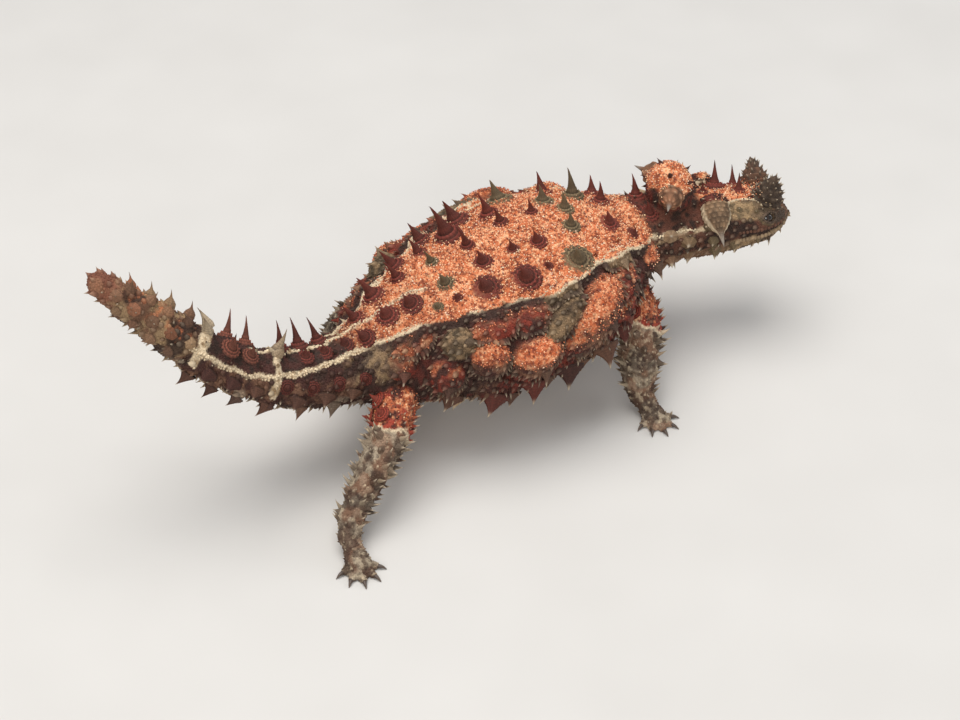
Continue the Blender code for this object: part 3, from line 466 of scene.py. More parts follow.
def fold_axes():
    """For each swelling, the direction of its length and of its height, along the skin."""
    ahead = ahead_at(THORN_S)
    ahead = unit(ahead - (ahead * THORN_NORMALS).sum(1, keepdims=True) * THORN_NORMALS)
    up = np.cross(THORN_NORMALS, ahead) * np.where(THORN_ANGLE > 0, -1.0, 1.0)[:, None]
    tilt = np.radians(TILT)[:, None]
    return np.cos(tilt) * ahead + np.sin(tilt) * up, np.cos(tilt) * up - np.sin(tilt) * ahead


FOLD_LONG, FOLD_HIGH = fold_axes()
print("thorns and folds:", len(THORNS))

# %% [markdown]
# ## The skin
# The hide is one seamless surface, so the body, legs, neck knob and head are made as closed forms
# that run into each other, and a voxel remesh melts them into one. Each form is a grid of points
# from a formula. The remesh is fine enough to keep the swelling under each thorn, and a light
# smoothing takes its steps away.


# %% Grids and forms
def grid_faces(rows, cols):
    """Quads of a grid that closes round its columns. They face the way that the step along the
    rows, crossed with the step round the columns, points."""
    i, j = np.meshgrid(np.arange(rows - 1), np.arange(cols), indexing="ij")
    a, b = i * cols + j, i * cols + (j + 1) % cols
    return np.stack([a, a + cols, b + cols, b], -1).reshape(-1, 4)


def closed(grid):
    """Points and faces of a grid with a pole at the middle of its first and of its last ring."""
    rows, cols = grid.shape[:2]
    points = np.vstack([grid.reshape(-1, 3), grid[0].mean(0), grid[-1].mean(0)])
    a = np.arange(cols)
    b, last = (a + 1) % cols, (rows - 1) * cols
    start = np.stack([np.full(cols, rows * cols), a, b], 1)
    end = np.stack([np.full(cols, rows * cols + 1), last + b, last + a], 1)
    return points, [grid_faces(rows, cols), start, end]


def turned(foot, way, heights, radii, sides=28):
    """Surface turned round the axis from foot along way, with a radius at each height."""
    way = unit(np.asarray(way, float))
    across = unit(np.cross(way, [0.31, 0.94, 0.12]))
    turn = -2 * np.pi * np.arange(sides) / sides
    ring = np.cos(turn)[:, None] * across + np.sin(turn)[:, None] * np.cross(way, across)
    heights, radii = np.asarray(heights, float), np.asarray(radii, float)
    return foot + heights[:, None, None] * way + radii[:, None, None] * ring


def ball(centre, radii, axes, rows=16, sides=28):
    """Ellipsoid: sines and cosines of two angles, times the three radii along the three axes."""
    polar = np.linspace(np.pi, 0, rows + 2)[1:-1, None]
    turn = -2 * np.pi * np.arange(sides)[None] / sides
    x, y = np.sin(polar) * np.cos(turn), np.sin(polar) * np.sin(turn)
    z = np.cos(polar) + 0 * turn
    parts = [(r * v)[..., None] * np.asarray(a) for r, v, a in zip(radii, (x, y, z), axes)]
    return centre + sum(parts)


def tube(points, radii, sides=14):
    """Circle of varying radius carried along a line of points."""
    points = np.asarray(points, float)
    ahead = unit(np.gradient(points, axis=0))
    across = unit(np.cross(ahead, [0.05, 0.03, 1.0]))
    turn = -2 * np.pi * np.arange(sides) / sides
    ring = np.cos(turn)[None, :, None] * across[:, None] + np.sin(turn)[None, :, None] * np.cross(
        ahead, across)[:, None]
    return points[:, None] + np.asarray(radii)[:, None, None] * ring


def above_floor(points, height=0.0):
    """The same points, none lower than the height over the floor in mm."""
    return np.maximum(points, [-np.inf, -np.inf, height])


def make_mesh(name, points, faces):
    """Mesh in metres from points in mm and a list of arrays of faces."""
    loops = np.concatenate([f.ravel() for f in faces])
    sizes = np.concatenate([np.full(len(f), f.shape[1]) for f in faces])
    mesh = bpy.data.meshes.new(name)
    mesh.vertices.add(len(points))
    mesh.vertices.foreach_set("co", (np.asarray(points) * MM).ravel())
    mesh.loops.add(len(loops))
    mesh.loops.foreach_set("vertex_index", loops.astype(np.int32))
    mesh.polygons.add(len(sizes))
    mesh.polygons.foreach_set("loop_start", np.r_[0, np.cumsum(sizes)[:-1]].astype(np.int32))
    mesh.update(calc_edges=True)
    mesh.shade_smooth()
    return mesh, loops


def joined(forms):
    """Several (points, faces) as one."""
    points, faces, count = [], [], 0
    for form_points, form_faces in forms:
        points.append(form_points)
        faces += [f + count for f in form_faces]
        count += len(form_points)
    return np.vstack(points), faces


# %% Noise and steps
def noise(points, size, seed=0):
    """Value noise: random numbers at the corners of a lattice, eased in between."""
    q = np.asarray(points) / size + seed * 7.31
    cell = np.floor(q).astype(np.int64)
    f = q - cell
    f = f * f * (3 - 2 * f)
    total = 0
    for corner in np.ndindex(2, 2, 2):
        at = cell + corner
        h = (at[:, 0] * 73856093) ^ (at[:, 1] * 19349663) ^ (at[:, 2] * 83492791) ^ (seed * 2654435)
        h = (h ^ (h >> 13)) * 1274126177
        value = ((h ^ (h >> 16)) & 0xFFFF) / 65535
        share = np.prod(np.where(corner, f, 1 - f), axis=1)
        total = total + value * share
    return total


def ease(value, low, high):
    """0 below low, 1 above high, smooth in between."""
    t = np.clip((value - low) / (high - low), 0, 1)
    return t * t * (3 - 2 * t)


# %% Lines and swellings of the body
# Angle of the pale line along each flank, by distance
LINE_AT = np.array([(-66, 66), (-42, 66), (-33, 66), (-27, 54), (-18, 36), (-10, 28), (0, 32), (7, 33),
                    (18, 38), (28, 46), (40, 44), (47, 45), (57.5, 56), (66, 58), (74, 68), (80, 66)], float)


def line_drop(s, angle):
    """How far in mm a place lies below the pale line, which swings down between thorns."""
    swing = 0.75 * np.abs(np.sin(np.pi * (s - 4.0) / 9.2)) * ease(s, -12, 2)
    swing = swing + 0.4 * np.abs(np.sin(np.pi * s / 5.2)) * (1 - ease(s, -12, 2))
    return np.radians(np.abs(angle) - np.interp(s, *LINE_AT.T)) * mean_reach(s) - swing + 0.4


def thorn_field(points):
    """Largest swelling in mm at each point, and the nearest swelling with the share of its reach
    at which the point lies: 0 in the middle, 1 at its edge."""
    lift, nearest, ratio = [], [], []
    for part in np.array_split(points, max(1, len(points) // 12000)):
        arm = part[:, None] - THORN_ROOTS
        x, y = (arm * FOLD_LONG).sum(2) / HALF_LONG, (arm * FOLD_HIGH).sum(2) / HALF_HIGH
        z = (arm * THORN_NORMALS).sum(2) / (HALF_LONG + HALF_HIGH)
        away = x * x + y * y + z * z
        dome = np.clip(1 - away, 0, 1) ** FULLNESS * LIFT
        lift.append(dome.max(1))
        nearest.append(np.where(dome.max(1) > 0, dome.argmax(1), away.argmin(1)))
        ratio.append(np.sqrt(away[np.arange(len(part)), nearest[-1]]))
    return np.concatenate(lift), np.concatenate(nearest), np.concatenate(ratio)


# How far in mm the skin lies inside its formula, to leave room for the coat
INSET = 0.22


def body_form():
    """Body from tail to snout: the section formula, moved out by swellings, a ridge along the
    pale line with a furrow under it, whorls round the tail and a little unevenness."""
    s, angle = np.meshgrid(np.arange(TAIL_END, SNOUT_END + 0.01, 0.5), np.arange(-180, 180, 2.25),
                           indexing="ij")
    points, normal = body_point(s, angle), body_normal(s, angle)
    flat = points.reshape(-1, 3)
    lift = thorn_field(flat)[0].reshape(s.shape)
    drop = line_drop(s, angle)
    trunk = ease(s, -4, 6) * (1 - ease(s, 54, 60))
    lift = lift + trunk * (0.35 * np.exp(-(drop / 0.7) ** 2) - 0.7 * np.exp(-((drop - 2.6) / 1.2) ** 2))
    lift = lift + 0.3 * np.cos(2 * np.pi * (s + 27.5) / 5.2) * (1 - ease(s, -14, -6))
    lift = lift + 0.7 * (noise(flat, 3.2, 3).reshape(s.shape) - 0.5) - INSET
    fade = ease(s, TAIL_END, TAIL_END + 2) * (1 - ease(s, SNOUT_END - 2, SNOUT_END))
    return points + (lift * fade - INSET * (1 - fade))[..., None] * normal


def leg_form(leg):
    """Leg: a circle carried along its line, with muscle and skin folds from noise."""
    t, angle = np.meshgrid(np.arange(0, leg.length + 0.01, 0.45), np.arange(0, 360, 8.0), indexing="ij")
    points, out = leg.skin(t, angle)
    lumps = 0.9 * (noise(points.reshape(-1, 3), 2.4, 5).reshape(t.shape) - 0.5) - INSET
    return points + lumps[..., None] * out


# Angle of each toe from the foot's heading, and its length in mm
TOES = ((-64, 2.6), (-32, 3.5), (-4, 4.0), (24, 3.7), (56, 2.8))


def foot_forms(leg):
    """Pad and five toes with knuckles, spread over the floor."""
    centre, ahead = leg.at(leg.length), leg.frame(np.array([leg.length]))[1][0]
    heading = unit(np.array([ahead[0], ahead[1], 0.0]))
    side, up = np.array([-heading[1], heading[0], 0.0]), np.array([0, 0, 1.0])
    forms = [ball(centre + 0.2 * heading, (2.7, 2.4, 1.5), (heading, side, up))]
    claws = []
    for turn, length in TOES:
        turn = math.radians(turn)
        along = unit(math.cos(turn) * heading + math.sin(turn) * side - 0.08 * up)
        root = centre * [1, 1, 0] + 0.8 * up + 1.4 * along
        heights = np.array([-0.6, 0, 0.25, 0.42, 0.6, 0.78, 0.92, 1.0]) * length
        forms.append(turned(root, along, heights, (0.8, 0.86, 0.78, 0.9, 0.68, 0.78, 0.6, 0.3), 16))
        claws.append((root + along * (length - 0.35), along))
    return forms, claws


# The false head stands on the nape, at this distance from the hips
KNOB_S = 66.8
KNOB_AT, KNOB_AHEAD, KNOB_LEFT, KNOB_UP = body_frame(KNOB_S)
FOOT_FORMS, CLAWS = [], []
for leg in LEG.values():
    forms, claws = foot_forms(leg)
    FOOT_FORMS += forms
    CLAWS += claws


def knob_side(side, out):
    """Foot of the thorn on one side of the false head, so far out from its middle, and its way."""
    foot = KNOB_AT + 10.2 * KNOB_UP + side * out * KNOB_LEFT - 0.9 * KNOB_AHEAD
    return foot, unit(0.9 * side * KNOB_LEFT - 0.5 * KNOB_AHEAD - 0.02 * KNOB_UP)


def knob_forms():
    """False head: a dome on the nape with a swelling for each side thorn."""
    axes = (KNOB_AHEAD, KNOB_LEFT, KNOB_UP)
    forms = [turned(KNOB_AT + 2 * KNOB_UP, KNOB_UP, (0, 2, 4, 6, 7), (4.4, 4.1, 3.9, 3.9, 3.4)),
             ball(KNOB_AT + 9.0 * KNOB_UP, (4.6, 5.3, 5.7), axes, 20, 32)]
    for side in (-1, 1):
        forms.append(turned(*knob_side(side, 2.4), (0, 1.5, 3, 4.2), (2.6, 2.3, 1.6, 0.7)))
    return forms


# %% Forms of the head
EYE_AT, EYE_ANGLE, EYE_RADIUS, EYE_SUNK = 86.7, 76.0, 1.45, 1.0
HORN_AT, HORN_ANGLE, HORN_LENGTH, HORN_RADIUS, HORN_SUNK = 87.0, 32.0, 7.8, 2.9, 1.2
EAR_AT, EAR_SIDE, EAR_RISE = 75.2, 4.5, 5.6
HEAD_AHEAD, HEAD_LEFT, HEAD_UP = body_frame(HORN_AT)[1:]
HORNS, EARS, EYES = [], [], []
for side in (-1, 1):
    rise = unit(HEAD_UP + 0.5 * side * HEAD_LEFT + (0.17 - 0.13 * side) * HEAD_AHEAD)
    HORNS.append((body_point(HORN_AT, side * HORN_ANGLE), rise))
    _, ahead, left, up = body_frame(EAR_AT)
    way = unit(side * left - 0.75 * up - 0.02 * ahead)
    EARS.append((body_offset(EAR_AT, side * EAR_SIDE, EAR_RISE), way))
    out = body_normal(EYE_AT, side * EYE_ANGLE)
    along = ahead_at(EYE_AT)
    along = unit(along - (along @ out) * out)
    EYES.append((body_point(EYE_AT, side * EYE_ANGLE), along, np.cross(out, along), out))


def mouth_line(angle, inset):
    """Points along the mouth at an angle from the top, from one corner round to the other."""
    places = np.arange(80.0, 90.5, 0.8)
    sides = [body_point(places, side * angle) - inset * body_normal(places, side * angle)
             for side in (-1, 1)]
    point, ahead, _, up = body_frame(SNOUT_END)
    front = point + (1.5 - inset) * ahead + math.cos(math.radians(angle)) * 2.2 * up
    return np.vstack([sides[0], front, sides[1][::-1]])


def head_forms():
    """Horn and ear mounds, lids, brow ridges, snout and lips."""
    forms = []
    for (horn, rise), (ear, out), (eye, along, over, away) in zip(HORNS, EARS, EYES):
        forms.append(turned(horn - 2 * rise, rise, (0, 1.5, 3.2, 4.6, 5.4), (3.3, 3.2, 2.8, 2.2, 1.4)))
        forms.append(turned(ear - out, out, (0, 1.6, 3.2, 4.6, 5.6), (2.9, 3.0, 2.7, 2.0, 1.2)))
        forms.append(ball(eye - 1.3 * away, (2.5, 1.95, 2.1), (along, over, away)))
    ahead, left, up = body_frame(81.0)[1:]
    for side in (-1, 1):
        forms.append(ball(body_offset(81.4, side * 5.4, 3.9), (4.8, 1.8, 1.3), (ahead, left, up)))
    point, ahead, left, up = body_frame(SNOUT_END)
    forms.append(ball(point - 0.8 * ahead, (2.1, 3.1, 2.5), (ahead, left, up)))
    for angle, thick in ((91, 0.5), (108, 0.6)):
        line = mouth_line(angle, 0.3)
        forms.append(tube(line, thick * np.sin(np.linspace(0.5, np.pi - 0.5, len(line))) ** 0.3))
    return forms


# %% Melt the forms into one skin
# Edge of a voxel in mm
VOXEL = 0.445


def melt(forms):
    """Voxel remesh of overlapping closed forms, then a light smoothing; points come back in mm."""
    mesh, _ = make_mesh("forms", *joined([closed(form) for form in forms]))
    obj = bpy.data.objects.new("forms", mesh)
    bpy.context.scene.collection.objects.link(obj)
    remesh = obj.modifiers.new("melt", "REMESH")
    remesh.mode, remesh.voxel_size = "VOXEL", VOXEL * MM
    smooth = obj.modifiers.new("smooth", "SMOOTH")
    smooth.factor, smooth.iterations = 0.5, 3
    bpy.context.view_layer.update()
    skin = bpy.data.meshes.new_from_object(obj.evaluated_get(bpy.context.evaluated_depsgraph_get()))
    bpy.data.objects.remove(obj)
    skin.name = "skin"
    return skin


point, ahead, left, up = body_frame(TAIL_END)
tail_blunt = ball(point + 0.2 * up, (2.0, 2.2, 2.1), (ahead, left, up))
SKIN = melt([body_form(), tail_blunt, *[leg_form(leg) for leg in LEG.values()], *FOOT_FORMS,
             *knob_forms(), *head_forms()])


def read_skin():
    """Points in mm and normals of the skin."""
    count = len(SKIN.vertices)
    points, normals = np.empty(count * 3), np.empty(count * 3)
    SKIN.vertices.foreach_get("co", points)
    SKIN.vertices.foreach_get("normal", normals)
    return points.reshape(-1, 3) / MM, normals.reshape(-1, 3)


def press_eyes_and_soles(points):
    """Push the skin in where the eye shows between its lids, and flat where it meets the floor."""
    for eye, along, over, away in EYES:
        x, y = (points - eye) @ along / 1.5, (points - eye) @ over / 0.75
        height = (points - eye) @ away
        hole = (1 - ease(x * x + y * y, 0.75, 1.25)) * (np.abs(height) < 2.6)
        points = points - (1.9 * hole)[:, None] * away
    return above_floor(points, 0.02)


SKIN_POINTS, SKIN_NORMALS = read_skin()
SKIN_POINTS = press_eyes_and_soles(SKIN_POINTS)
SKIN.vertices.foreach_set("co", (SKIN_POINTS * MM).ravel())
SKIN.update()
SKIN_POINTS, SKIN_NORMALS = read_skin()
print("skin points:", len(SKIN_POINTS), "triangles:", sum(len(p.vertices) - 2 for p in SKIN.polygons))

# %% [markdown]
# ## Where a point is on the animal
# To colour a point, or to choose the scale that grows there, the body formula is run backwards:
# the nearest place on the centre line gives its distance along the body, and the direction from
# there gives its angle. The legs are asked the same way, and win where a point stands off the body.


# %% Body and leg places
def nearest_on(points, line):
    """Index of the nearest point of a line for each point."""
    parts = []
    for part in np.array_split(points, max(1, len(points) // 20000)):
        parts.append(((line**2).sum(1) - 2 * part @ line.T).argmin(1))
    return np.concatenate(parts)


def body_place(points):
    """Distance along the body, angle from the back, and how many skin depths out (1 is the skin)."""
    s = ALONG[::4][nearest_on(points, LINE[::4])]
    for _ in range(2):
        centre, ahead, _, _ = body_frame(s)
        s = np.clip(s + ((points - centre) * ahead).sum(1), TAIL_END, SNOUT_END)
    centre, _, left, up = body_frame(s)
    side = ((points - centre) * left).sum(1) / blend(s, STATION, HALF_WIDTH)
    rise = ((points - centre) * up).sum(1)
    rise = rise / np.where(rise > 0, blend(s, STATION, ABOVE), blend(s, STATION, BELOW))
    bend = blend(s, STATION, SQUARE) / 2
    side, rise = power(side, bend), power(rise, bend)
    return s, np.degrees(np.arctan2(side, rise)), np.hypot(side, rise)


def leg_place(points, depth):
    """Nearest leg, distance along it, angle round it, and the leg's share of the point from 0 to 1."""
    best = np.full(len(points), 1e3)
    which, t_best, turn = np.zeros(len(points), int), np.zeros(len(points)), np.zeros(len(points))
    for number, leg in enumerate(LEG.values()):
        samples = np.arange(0, leg.length + 0.01, 0.4)
        t = samples[nearest_on(points, leg.at(samples))]
        centre, _, left, up = leg.frame(t)
        arm = points - centre
        away = np.linalg.norm(arm, axis=1) - leg.radius(t)
        closer = away < best
        best = np.where(closer, away, best)
        which, t_best = np.where(closer, number, which), np.where(closer, t, t_best)
        angle = np.degrees(np.arctan2((arm * left).sum(1), (arm * up).sum(1)))
        turn = np.where(closer, angle, turn)
    lengths = np.array([leg.length for leg in LEG.values()])[which]
    near = np.where(t_best > lengths - 1.0, best < 9.0, best < 1.6)
    share = ease(depth, 1.02, 1.14) * near
    return which, t_best, turn, share


class Places:
    """Everything that colours and scales ask of a set of points."""

    def __init__(self, points, normals):
        self.points, self.normals = points, normals
        self.s, self.angle, self.depth = body_place(points)
        self.leg, self.t, self.turn, self.leg_share = leg_place(points, self.depth)
        self.lift, self.thorn, self.ratio = thorn_field(points)
        self.drop = line_drop(self.s, self.angle)
        knob = (points - KNOB_AT) @ KNOB_UP
        beside = np.linalg.norm(points - KNOB_AT - knob[:, None] * KNOB_UP, axis=1)
        self.knob = ease(knob, 6.6, 7.6) * (beside < 14) * (np.abs(self.s - KNOB_S) < 8)


SKIN_PLACES = Places(SKIN_POINTS, SKIN_NORMALS)
print("share of the skin on the legs:", round(float(SKIN_PLACES.leg_share.mean()), 2))

# %% [markdown]
# ## Colours and markings
# The back is dusted with orange sand between dark red discs. A granular pale line runs down each
# flank. A dark band lies below it, then a maroon field with folds: some maroon, some olive, some
# dusted with sand. The tail is blotched nearly black between pale lines, the legs are
# grey-brown, and the head is sandy above with tan cheeks. The same functions colour the skin
# and its granules, so they agree.

# %% Palette
SAND, SAND_LIGHT, SAND_DARK = rgb(217, 125, 77), rgb(254, 199, 153), rgb(136, 66, 44)
SAND_PALE = rgb(255, 220, 190)
MAROON, MAROON_DARK = rgb(100, 40, 32), rgb(58, 26, 22)
BLACK_BROWN, RED = rgb(44, 28, 23), rgb(146, 54, 38)
CREAM, BELLY = rgb(226, 208, 176), rgb(196, 170, 136)
OLIVE, TAN, BROWN = rgb(104, 90, 66), rgb(160, 134, 100), rgb(128, 92, 70)
GREY, GREY_DARK, GREY_PALE = rgb(128, 112, 92), rgb(82, 68, 56), rgb(176, 162, 140)


def mix(first, second, share):
    """Colours between first and second, by one share or by one for each colour."""
    return first + (second - first) * np.asarray(share)[..., None]


def facing_up(places):
    """1 where the skin faces up, 0 where it is upright or faces down."""
    return ease(places.normals[:, 2], 0.05, 0.65)


def sand_shade(s):
    """Sand is a little darker towards the tail."""
    return np.interp(s, (0, 14), (0.84, 1.0))[:, None]


# %% Markings
# The pale line down the middle of the back: distance, and angle from the top
MIDDLE_AT, MIDDLE = (-46, -32, -20, -8, -3, 5, 11), (2, 4, 10, 10, 1, 1, -5)


def sandy(points):
    """Red sand: dark, orange and peach grains side by side."""
    fine, patch = noise(points, 0.42, 13), noise(points, 1.6, 12)
    colour = mix(SAND_DARK, SAND, ease(fine + 0.5 * patch, 0.38, 0.78))
    return mix(colour, SAND_LIGHT, 0.9 * ease(fine + 0.25 * patch, 0.62, 0.9))


def horny(points, dark, light, seed):
    """Scaly hide: dark in its hollows, light on its scales, mixed by a fine and a broad noise."""
    share = 0.6 * noise(points, 0.8, seed) + 0.4 * noise(points, 2.4, seed + 1)
    return mix(dark, light, ease(share, 0.36, 0.66))


def paint_trunk(at):
    """Sandy back with its discs, pale line, dark band, folds in their own colours, painted shade in the
    creases between swellings, and belly.
    """
    broad, patch, fine = noise(at.points, 5.0, 11), noise(at.points, 1.6, 12), noise(at.points, 0.5, 13)
    around, kind = np.abs(at.angle), KIND[at.thorn]
    back = sandy(at.points) * sand_shade(at.s)
    ring = np.where(kind[:, None] == OLIVE_DISC, OLIVE * 0.8, MAROON * 1.3)
    back = mix(back, ring, 0.85 * (1 - ease(at.ratio, 0.62, 0.74)) * (kind <= OLIVE_DISC))
    flank = horny(at.points, MAROON_DARK * 0.75, MAROON * 0.9, 14)
    body = (at.ratio < 1) * ease(at.ratio, 1.0, 0.85)
    flank = mix(flank, horny(at.points, OLIVE * 0.45, TAN * 0.8, 16), 0.9 * body * (kind == OLIVE_FOLD))
    flank = mix(flank, horny(at.points, MAROON_DARK, RED * 0.8, 18), 0.9 * body * (kind == MAROON_FOLD))
    leaf = np.where(noise(at.points, 9.0, 20)[:, None] > 0.5, BROWN * 0.8, RED * 0.6)
    flank = mix(flank, mix(MAROON_DARK, leaf, ease(fine, 0.35, 0.65)), 0.85 * body * (kind == LEAF_FOLD))
    tops = body * ease(at.normals[:, 2] + 0.5 * (patch - 0.5) - 0.3 * ease(at.s, 26, 31), -0.05, 0.3)
    under = horny(at.points, MAROON_DARK, BROWN, 22)
    flank = mix(flank, under, 0.9 * body * (kind == SANDY_FOLD))
    low_sand = back * np.interp(at.s, (14, 18, 26, 28), (0.86, 0.97, 0.97, 0.85))[:, None] * [1.0, 0.90, 0.86]
    flank = mix(flank, low_sand, tops * (kind == SANDY_FOLD))
    bare = ease(at.s, 11, 13) * (1 - ease(at.s, 25, 27))
    dusted = (0.65 - 0.5 * bare) * facing_up(at) * ease(patch, 0.42, 0.56)
    flank = mix(flank, low_sand * 0.9, tops * dusted * (kind == MAROON_FOLD))
    # Painted shade: the flank darkens in the creases between swellings, where the skin is not lifted
    painted_crease_shade = (1 - ease(at.lift, 0.1, 0.8)) * (1 - ease(around, 105, 120)) * ease(broad, 0.3, 0.6)
    flank = mix(flank, BLACK_BROWN * 0.75, 0.8 * painted_crease_shade)
    belly = mix(BELLY, BROWN, ease(patch, 0.5, 0.7))
    belly = mix(belly, MAROON_DARK, ease(broad, 0.58, 0.66))
    flank = mix(flank, belly, ease(around, 122, 140))
    edge = at.drop + 0.9 * (patch - 0.5)
    band = 0.85 * (1 - ease(edge, 1.4, 3.0)) * (1 - 0.9 * body * (kind > MAROON_FOLD))
    colour = mix(flank, BLACK_BROWN, band)
    colour = mix(colour, back, 1 - ease(edge, -0.25, 0.0))
    thick = 0.20 + 0.22 * noise(at.points, 1.1, 24)
    line = 1 - ease(np.abs(at.drop), thick, thick + 0.14)
    middle = np.abs(at.angle - np.interp(at.s, MIDDLE_AT, MIDDLE)) * 0.16 + 0.3 * noise(at.points, 1.4, 25)
    line = np.maximum(line, (1 - ease(middle, 0.3, 0.5)) * (1 - ease(at.s, 8, 13)))
    return mix(colour, CREAM, 0.9 * line * ease(noise(at.points, 3.4, 27), 0.2, 0.38))


def paint_tail(at):
    """Dark blotches between a pale line down the middle of the back and one down each side."""
    patch, fine = noise(at.points, 2.0, 21), noise(at.points, 0.6, 22)
    around, kind = np.abs(at.angle), KIND[at.thorn]
    dark = horny(at.points, BLACK_BROWN * 0.7, MAROON_DARK * 1.1, 23)
    dark = mix(dark, sandy(at.points), ease(at.s, -14, -2) * facing_up(at) * ease(patch, 0.35, 0.6))
    side = horny(at.points, BLACK_BROWN, MAROON_DARK, 28)
    bump = (at.ratio < 1) * ease(at.ratio, 1.0, 0.7)
    side = mix(side, horny(at.points, MAROON_DARK, BROWN * 0.8, 30), 0.9 * bump * (kind == LOBE))
    side = mix(side, GREY_PALE, 0.45 * ease(noise(at.points, 1.9, 32), 0.62, 0.7) * ease(around, 95, 110))
    dusty = ease(noise(at.points, 2.6, 33), 0.50, 0.58) * ease(at.s, -14, -10) * (1 - ease(around, 72, 86))
    side = mix(side, horny(at.points, GREY_DARK, TAN, 35), 0.75 * dusty)
    side = mix(side, BELLY * 0.8, 0.7 * ease(around, 138, 155))
    colour = mix(dark, side, ease(at.drop, -0.2, 0.3))
    middle = np.abs(np.radians(at.angle - np.interp(at.s, MIDDLE_AT, MIDDLE))) * mean_reach(at.s)
    middle = middle + 0.5 * noise(at.points, 1.3, 25)
    bars = np.minimum(np.abs(at.s + 27.0), np.abs(at.s + 44.0)) + 1.3 * noise(at.points, 1.5, 26)
    pale = np.maximum((1 - ease(middle, 0.55, 0.85)) * ease(at.s, -34, -31),
                      (1 - ease(bars, 1.3, 1.7)) * (around < 104))
    far = horny(at.points, BROWN * 0.7, TAN * 0.9, 34)
    far = mix(far, BLACK_BROWN, 0.9 * ease(noise(at.points, 3.0, 36), 0.50, 0.58))
    far = mix(far, SAND, 0.5 * ease(fine, 0.5, 0.8) * facing_up(at) * ease(patch, 0.4, 0.6))
    colour = mix(colour, far, 1 - ease(at.s + 3 * (patch - 0.5), -47, -45))
    colour = mix(colour, mix(BROWN, RED, 0.35), 0.7 * (1 - ease(at.s, -65, -61)))
    wide = 0.1 + 0.5 * noise(at.points, 1.7, 38)
    pale = np.maximum(pale, (1 - ease(np.abs(at.drop), wide, wide + 0.25)) * ease(at.s, -48, -44))
    return mix(colour, mix(TAN, CREAM, ease(fine, 0.2, 0.6)), 0.9 * pale)


def paint_head(at):
    """Sandy crown, pale ridge over tan cheeks, dark band and lip, pale jaw, dark nape; the band is dark brown
    with painted shade between cheek and jaw, and the mouth line is painted shade.
    """
    patch, fine = noise(at.points, 1.4, 31), noise(at.points, 0.45, 32)
    around = np.abs(at.angle)
    crown = mix(sandy(at.points), MAROON_DARK, ease(noise(at.points, 2.2, 33), 0.58, 0.66))
    nape = horny(at.points, BLACK_BROWN * 0.8, rgb(100, 58, 44), 35)
    crown = mix(crown, nape, ease(at.s, 57, 60) * (1 - ease(at.s, 72, 74)))
    cheek = horny(at.points, OLIVE * 0.8, TAN, 37)
    cheek = mix(cheek, GREY_DARK, 0.6 * ease(noise(at.points, 1.8, 34), 0.58, 0.7))
    # The band between cheek and jaw is dark brown, deepened as painted shade where shade falls between them
    band = horny(at.points, BLACK_BROWN * 0.8, rgb(92, 56, 42), 39)
    jaw = horny(at.points, GREY_DARK, TAN * 0.95, 41)
    jaw = mix(jaw, BROWN * 0.8, 0.8 * (1 - ease(at.s, 74, 80)))
    wave = around + 9 * (patch - 0.5)
    brow = np.interp(at.s, (72, 77, 80, 83, 86, 88), (66, 40, 30, 33, 44, 30))
    low = np.interp(at.s, (72, 77, 83, 86, 88), (70, 70, 78, 88, 90))
    colour = mix(crown, cheek, ease(wave, brow - 2, brow + 3))
    colour = mix(colour, horny(at.points, GREY_DARK * 0.8, BROWN, 43), ease(at.s, 87.0, 88.6) * (around < 92))
    colour = mix(colour, band, ease(wave, low - 3, low + 3) * (1 - ease(at.s, 88, 89)))
    colour = mix(colour, jaw, ease(wave, 100, 106))
    # Painted shade: a dark line in the crease between the lips
    mouth = (1 - ease(np.abs(around - 99), 1.5, 3.5)) * ease(at.s, 79, 81)
    colour = mix(colour, BLACK_BROWN * 0.6, mouth)
    neck = (1 - ease(np.abs(at.drop), 0.5, 0.9)) * (1 - ease(at.s, 74, 76)) * ease(patch, 0.25, 0.45)
    return mix(colour, mix(TAN, CREAM, fine), 0.8 * neck)


def paint_leg(at):
    """Grey-brown with darker patches, pale specks, and a red patch on the upper leg."""
    patch, fine = noise(at.points, 2.2, 41), noise(at.points, 0.5, 42)
    colour = mix(horny(at.points, GREY_DARK * 1.3, GREY_PALE, 45), BROWN * 1.2, 0.6 * ease(patch, 0.45, 0.6))
    colour = mix(colour, BLACK_BROWN, 0.7 * ease(noise(at.points, 3.0, 43), 0.57, 0.64))
    colour = mix(colour, mix(TAN, CREAM, fine), 0.5 * ease(fine, 0.62, 0.85))
    upper = 1 - ease(at.t + 2.5 * (patch - 0.5), 13.5, 14.3)
    red = mix(horny(at.points, MAROON_DARK, RED * 1.15, 47), sandy(at.points),
              ease(fine + patch, 0.8, 1.2) * (0.3 + 0.6 * facing_up(at)))
    colour = mix(colour, red, upper)
    edge = 1 - ease(np.abs(at.t + 2.5 * (patch - 0.5) - 14.1), 0.25, 0.5)
    colour = colour * np.where(at.t > 14.5, 0.88, 1.0)[:, None]
    return mix(colour, CREAM, 0.8 * edge)


def knob_sand(at):
    """Sand lies on the upper half of the knob, down to the shoulders of its side thorns."""
    height = (at.points - KNOB_AT) @ KNOB_UP + 1.6 * (noise(at.points, 1.8, 54) - 0.5)
    return ease(height, 10.3, 11.1) * ease(at.normals[:, 2], -0.2, 0.2)


def paint(at):
    """Colour of every point: each part of the animal, blended where parts meet."""
    colour = mix(paint_tail(at), paint_trunk(at), ease(at.s + 2.0 * noise(at.points, 2.0, 51), -5, -1))
    colour = mix(colour, paint_head(at), ease(at.s, 57, 59.5))
    knob = mix(horny(at.points, BLACK_BROWN, MAROON, 53), sandy(at.points), knob_sand(at))
    colour = mix(colour, knob, at.knob)
    return mix(colour, paint_leg(at), at.leg_share)


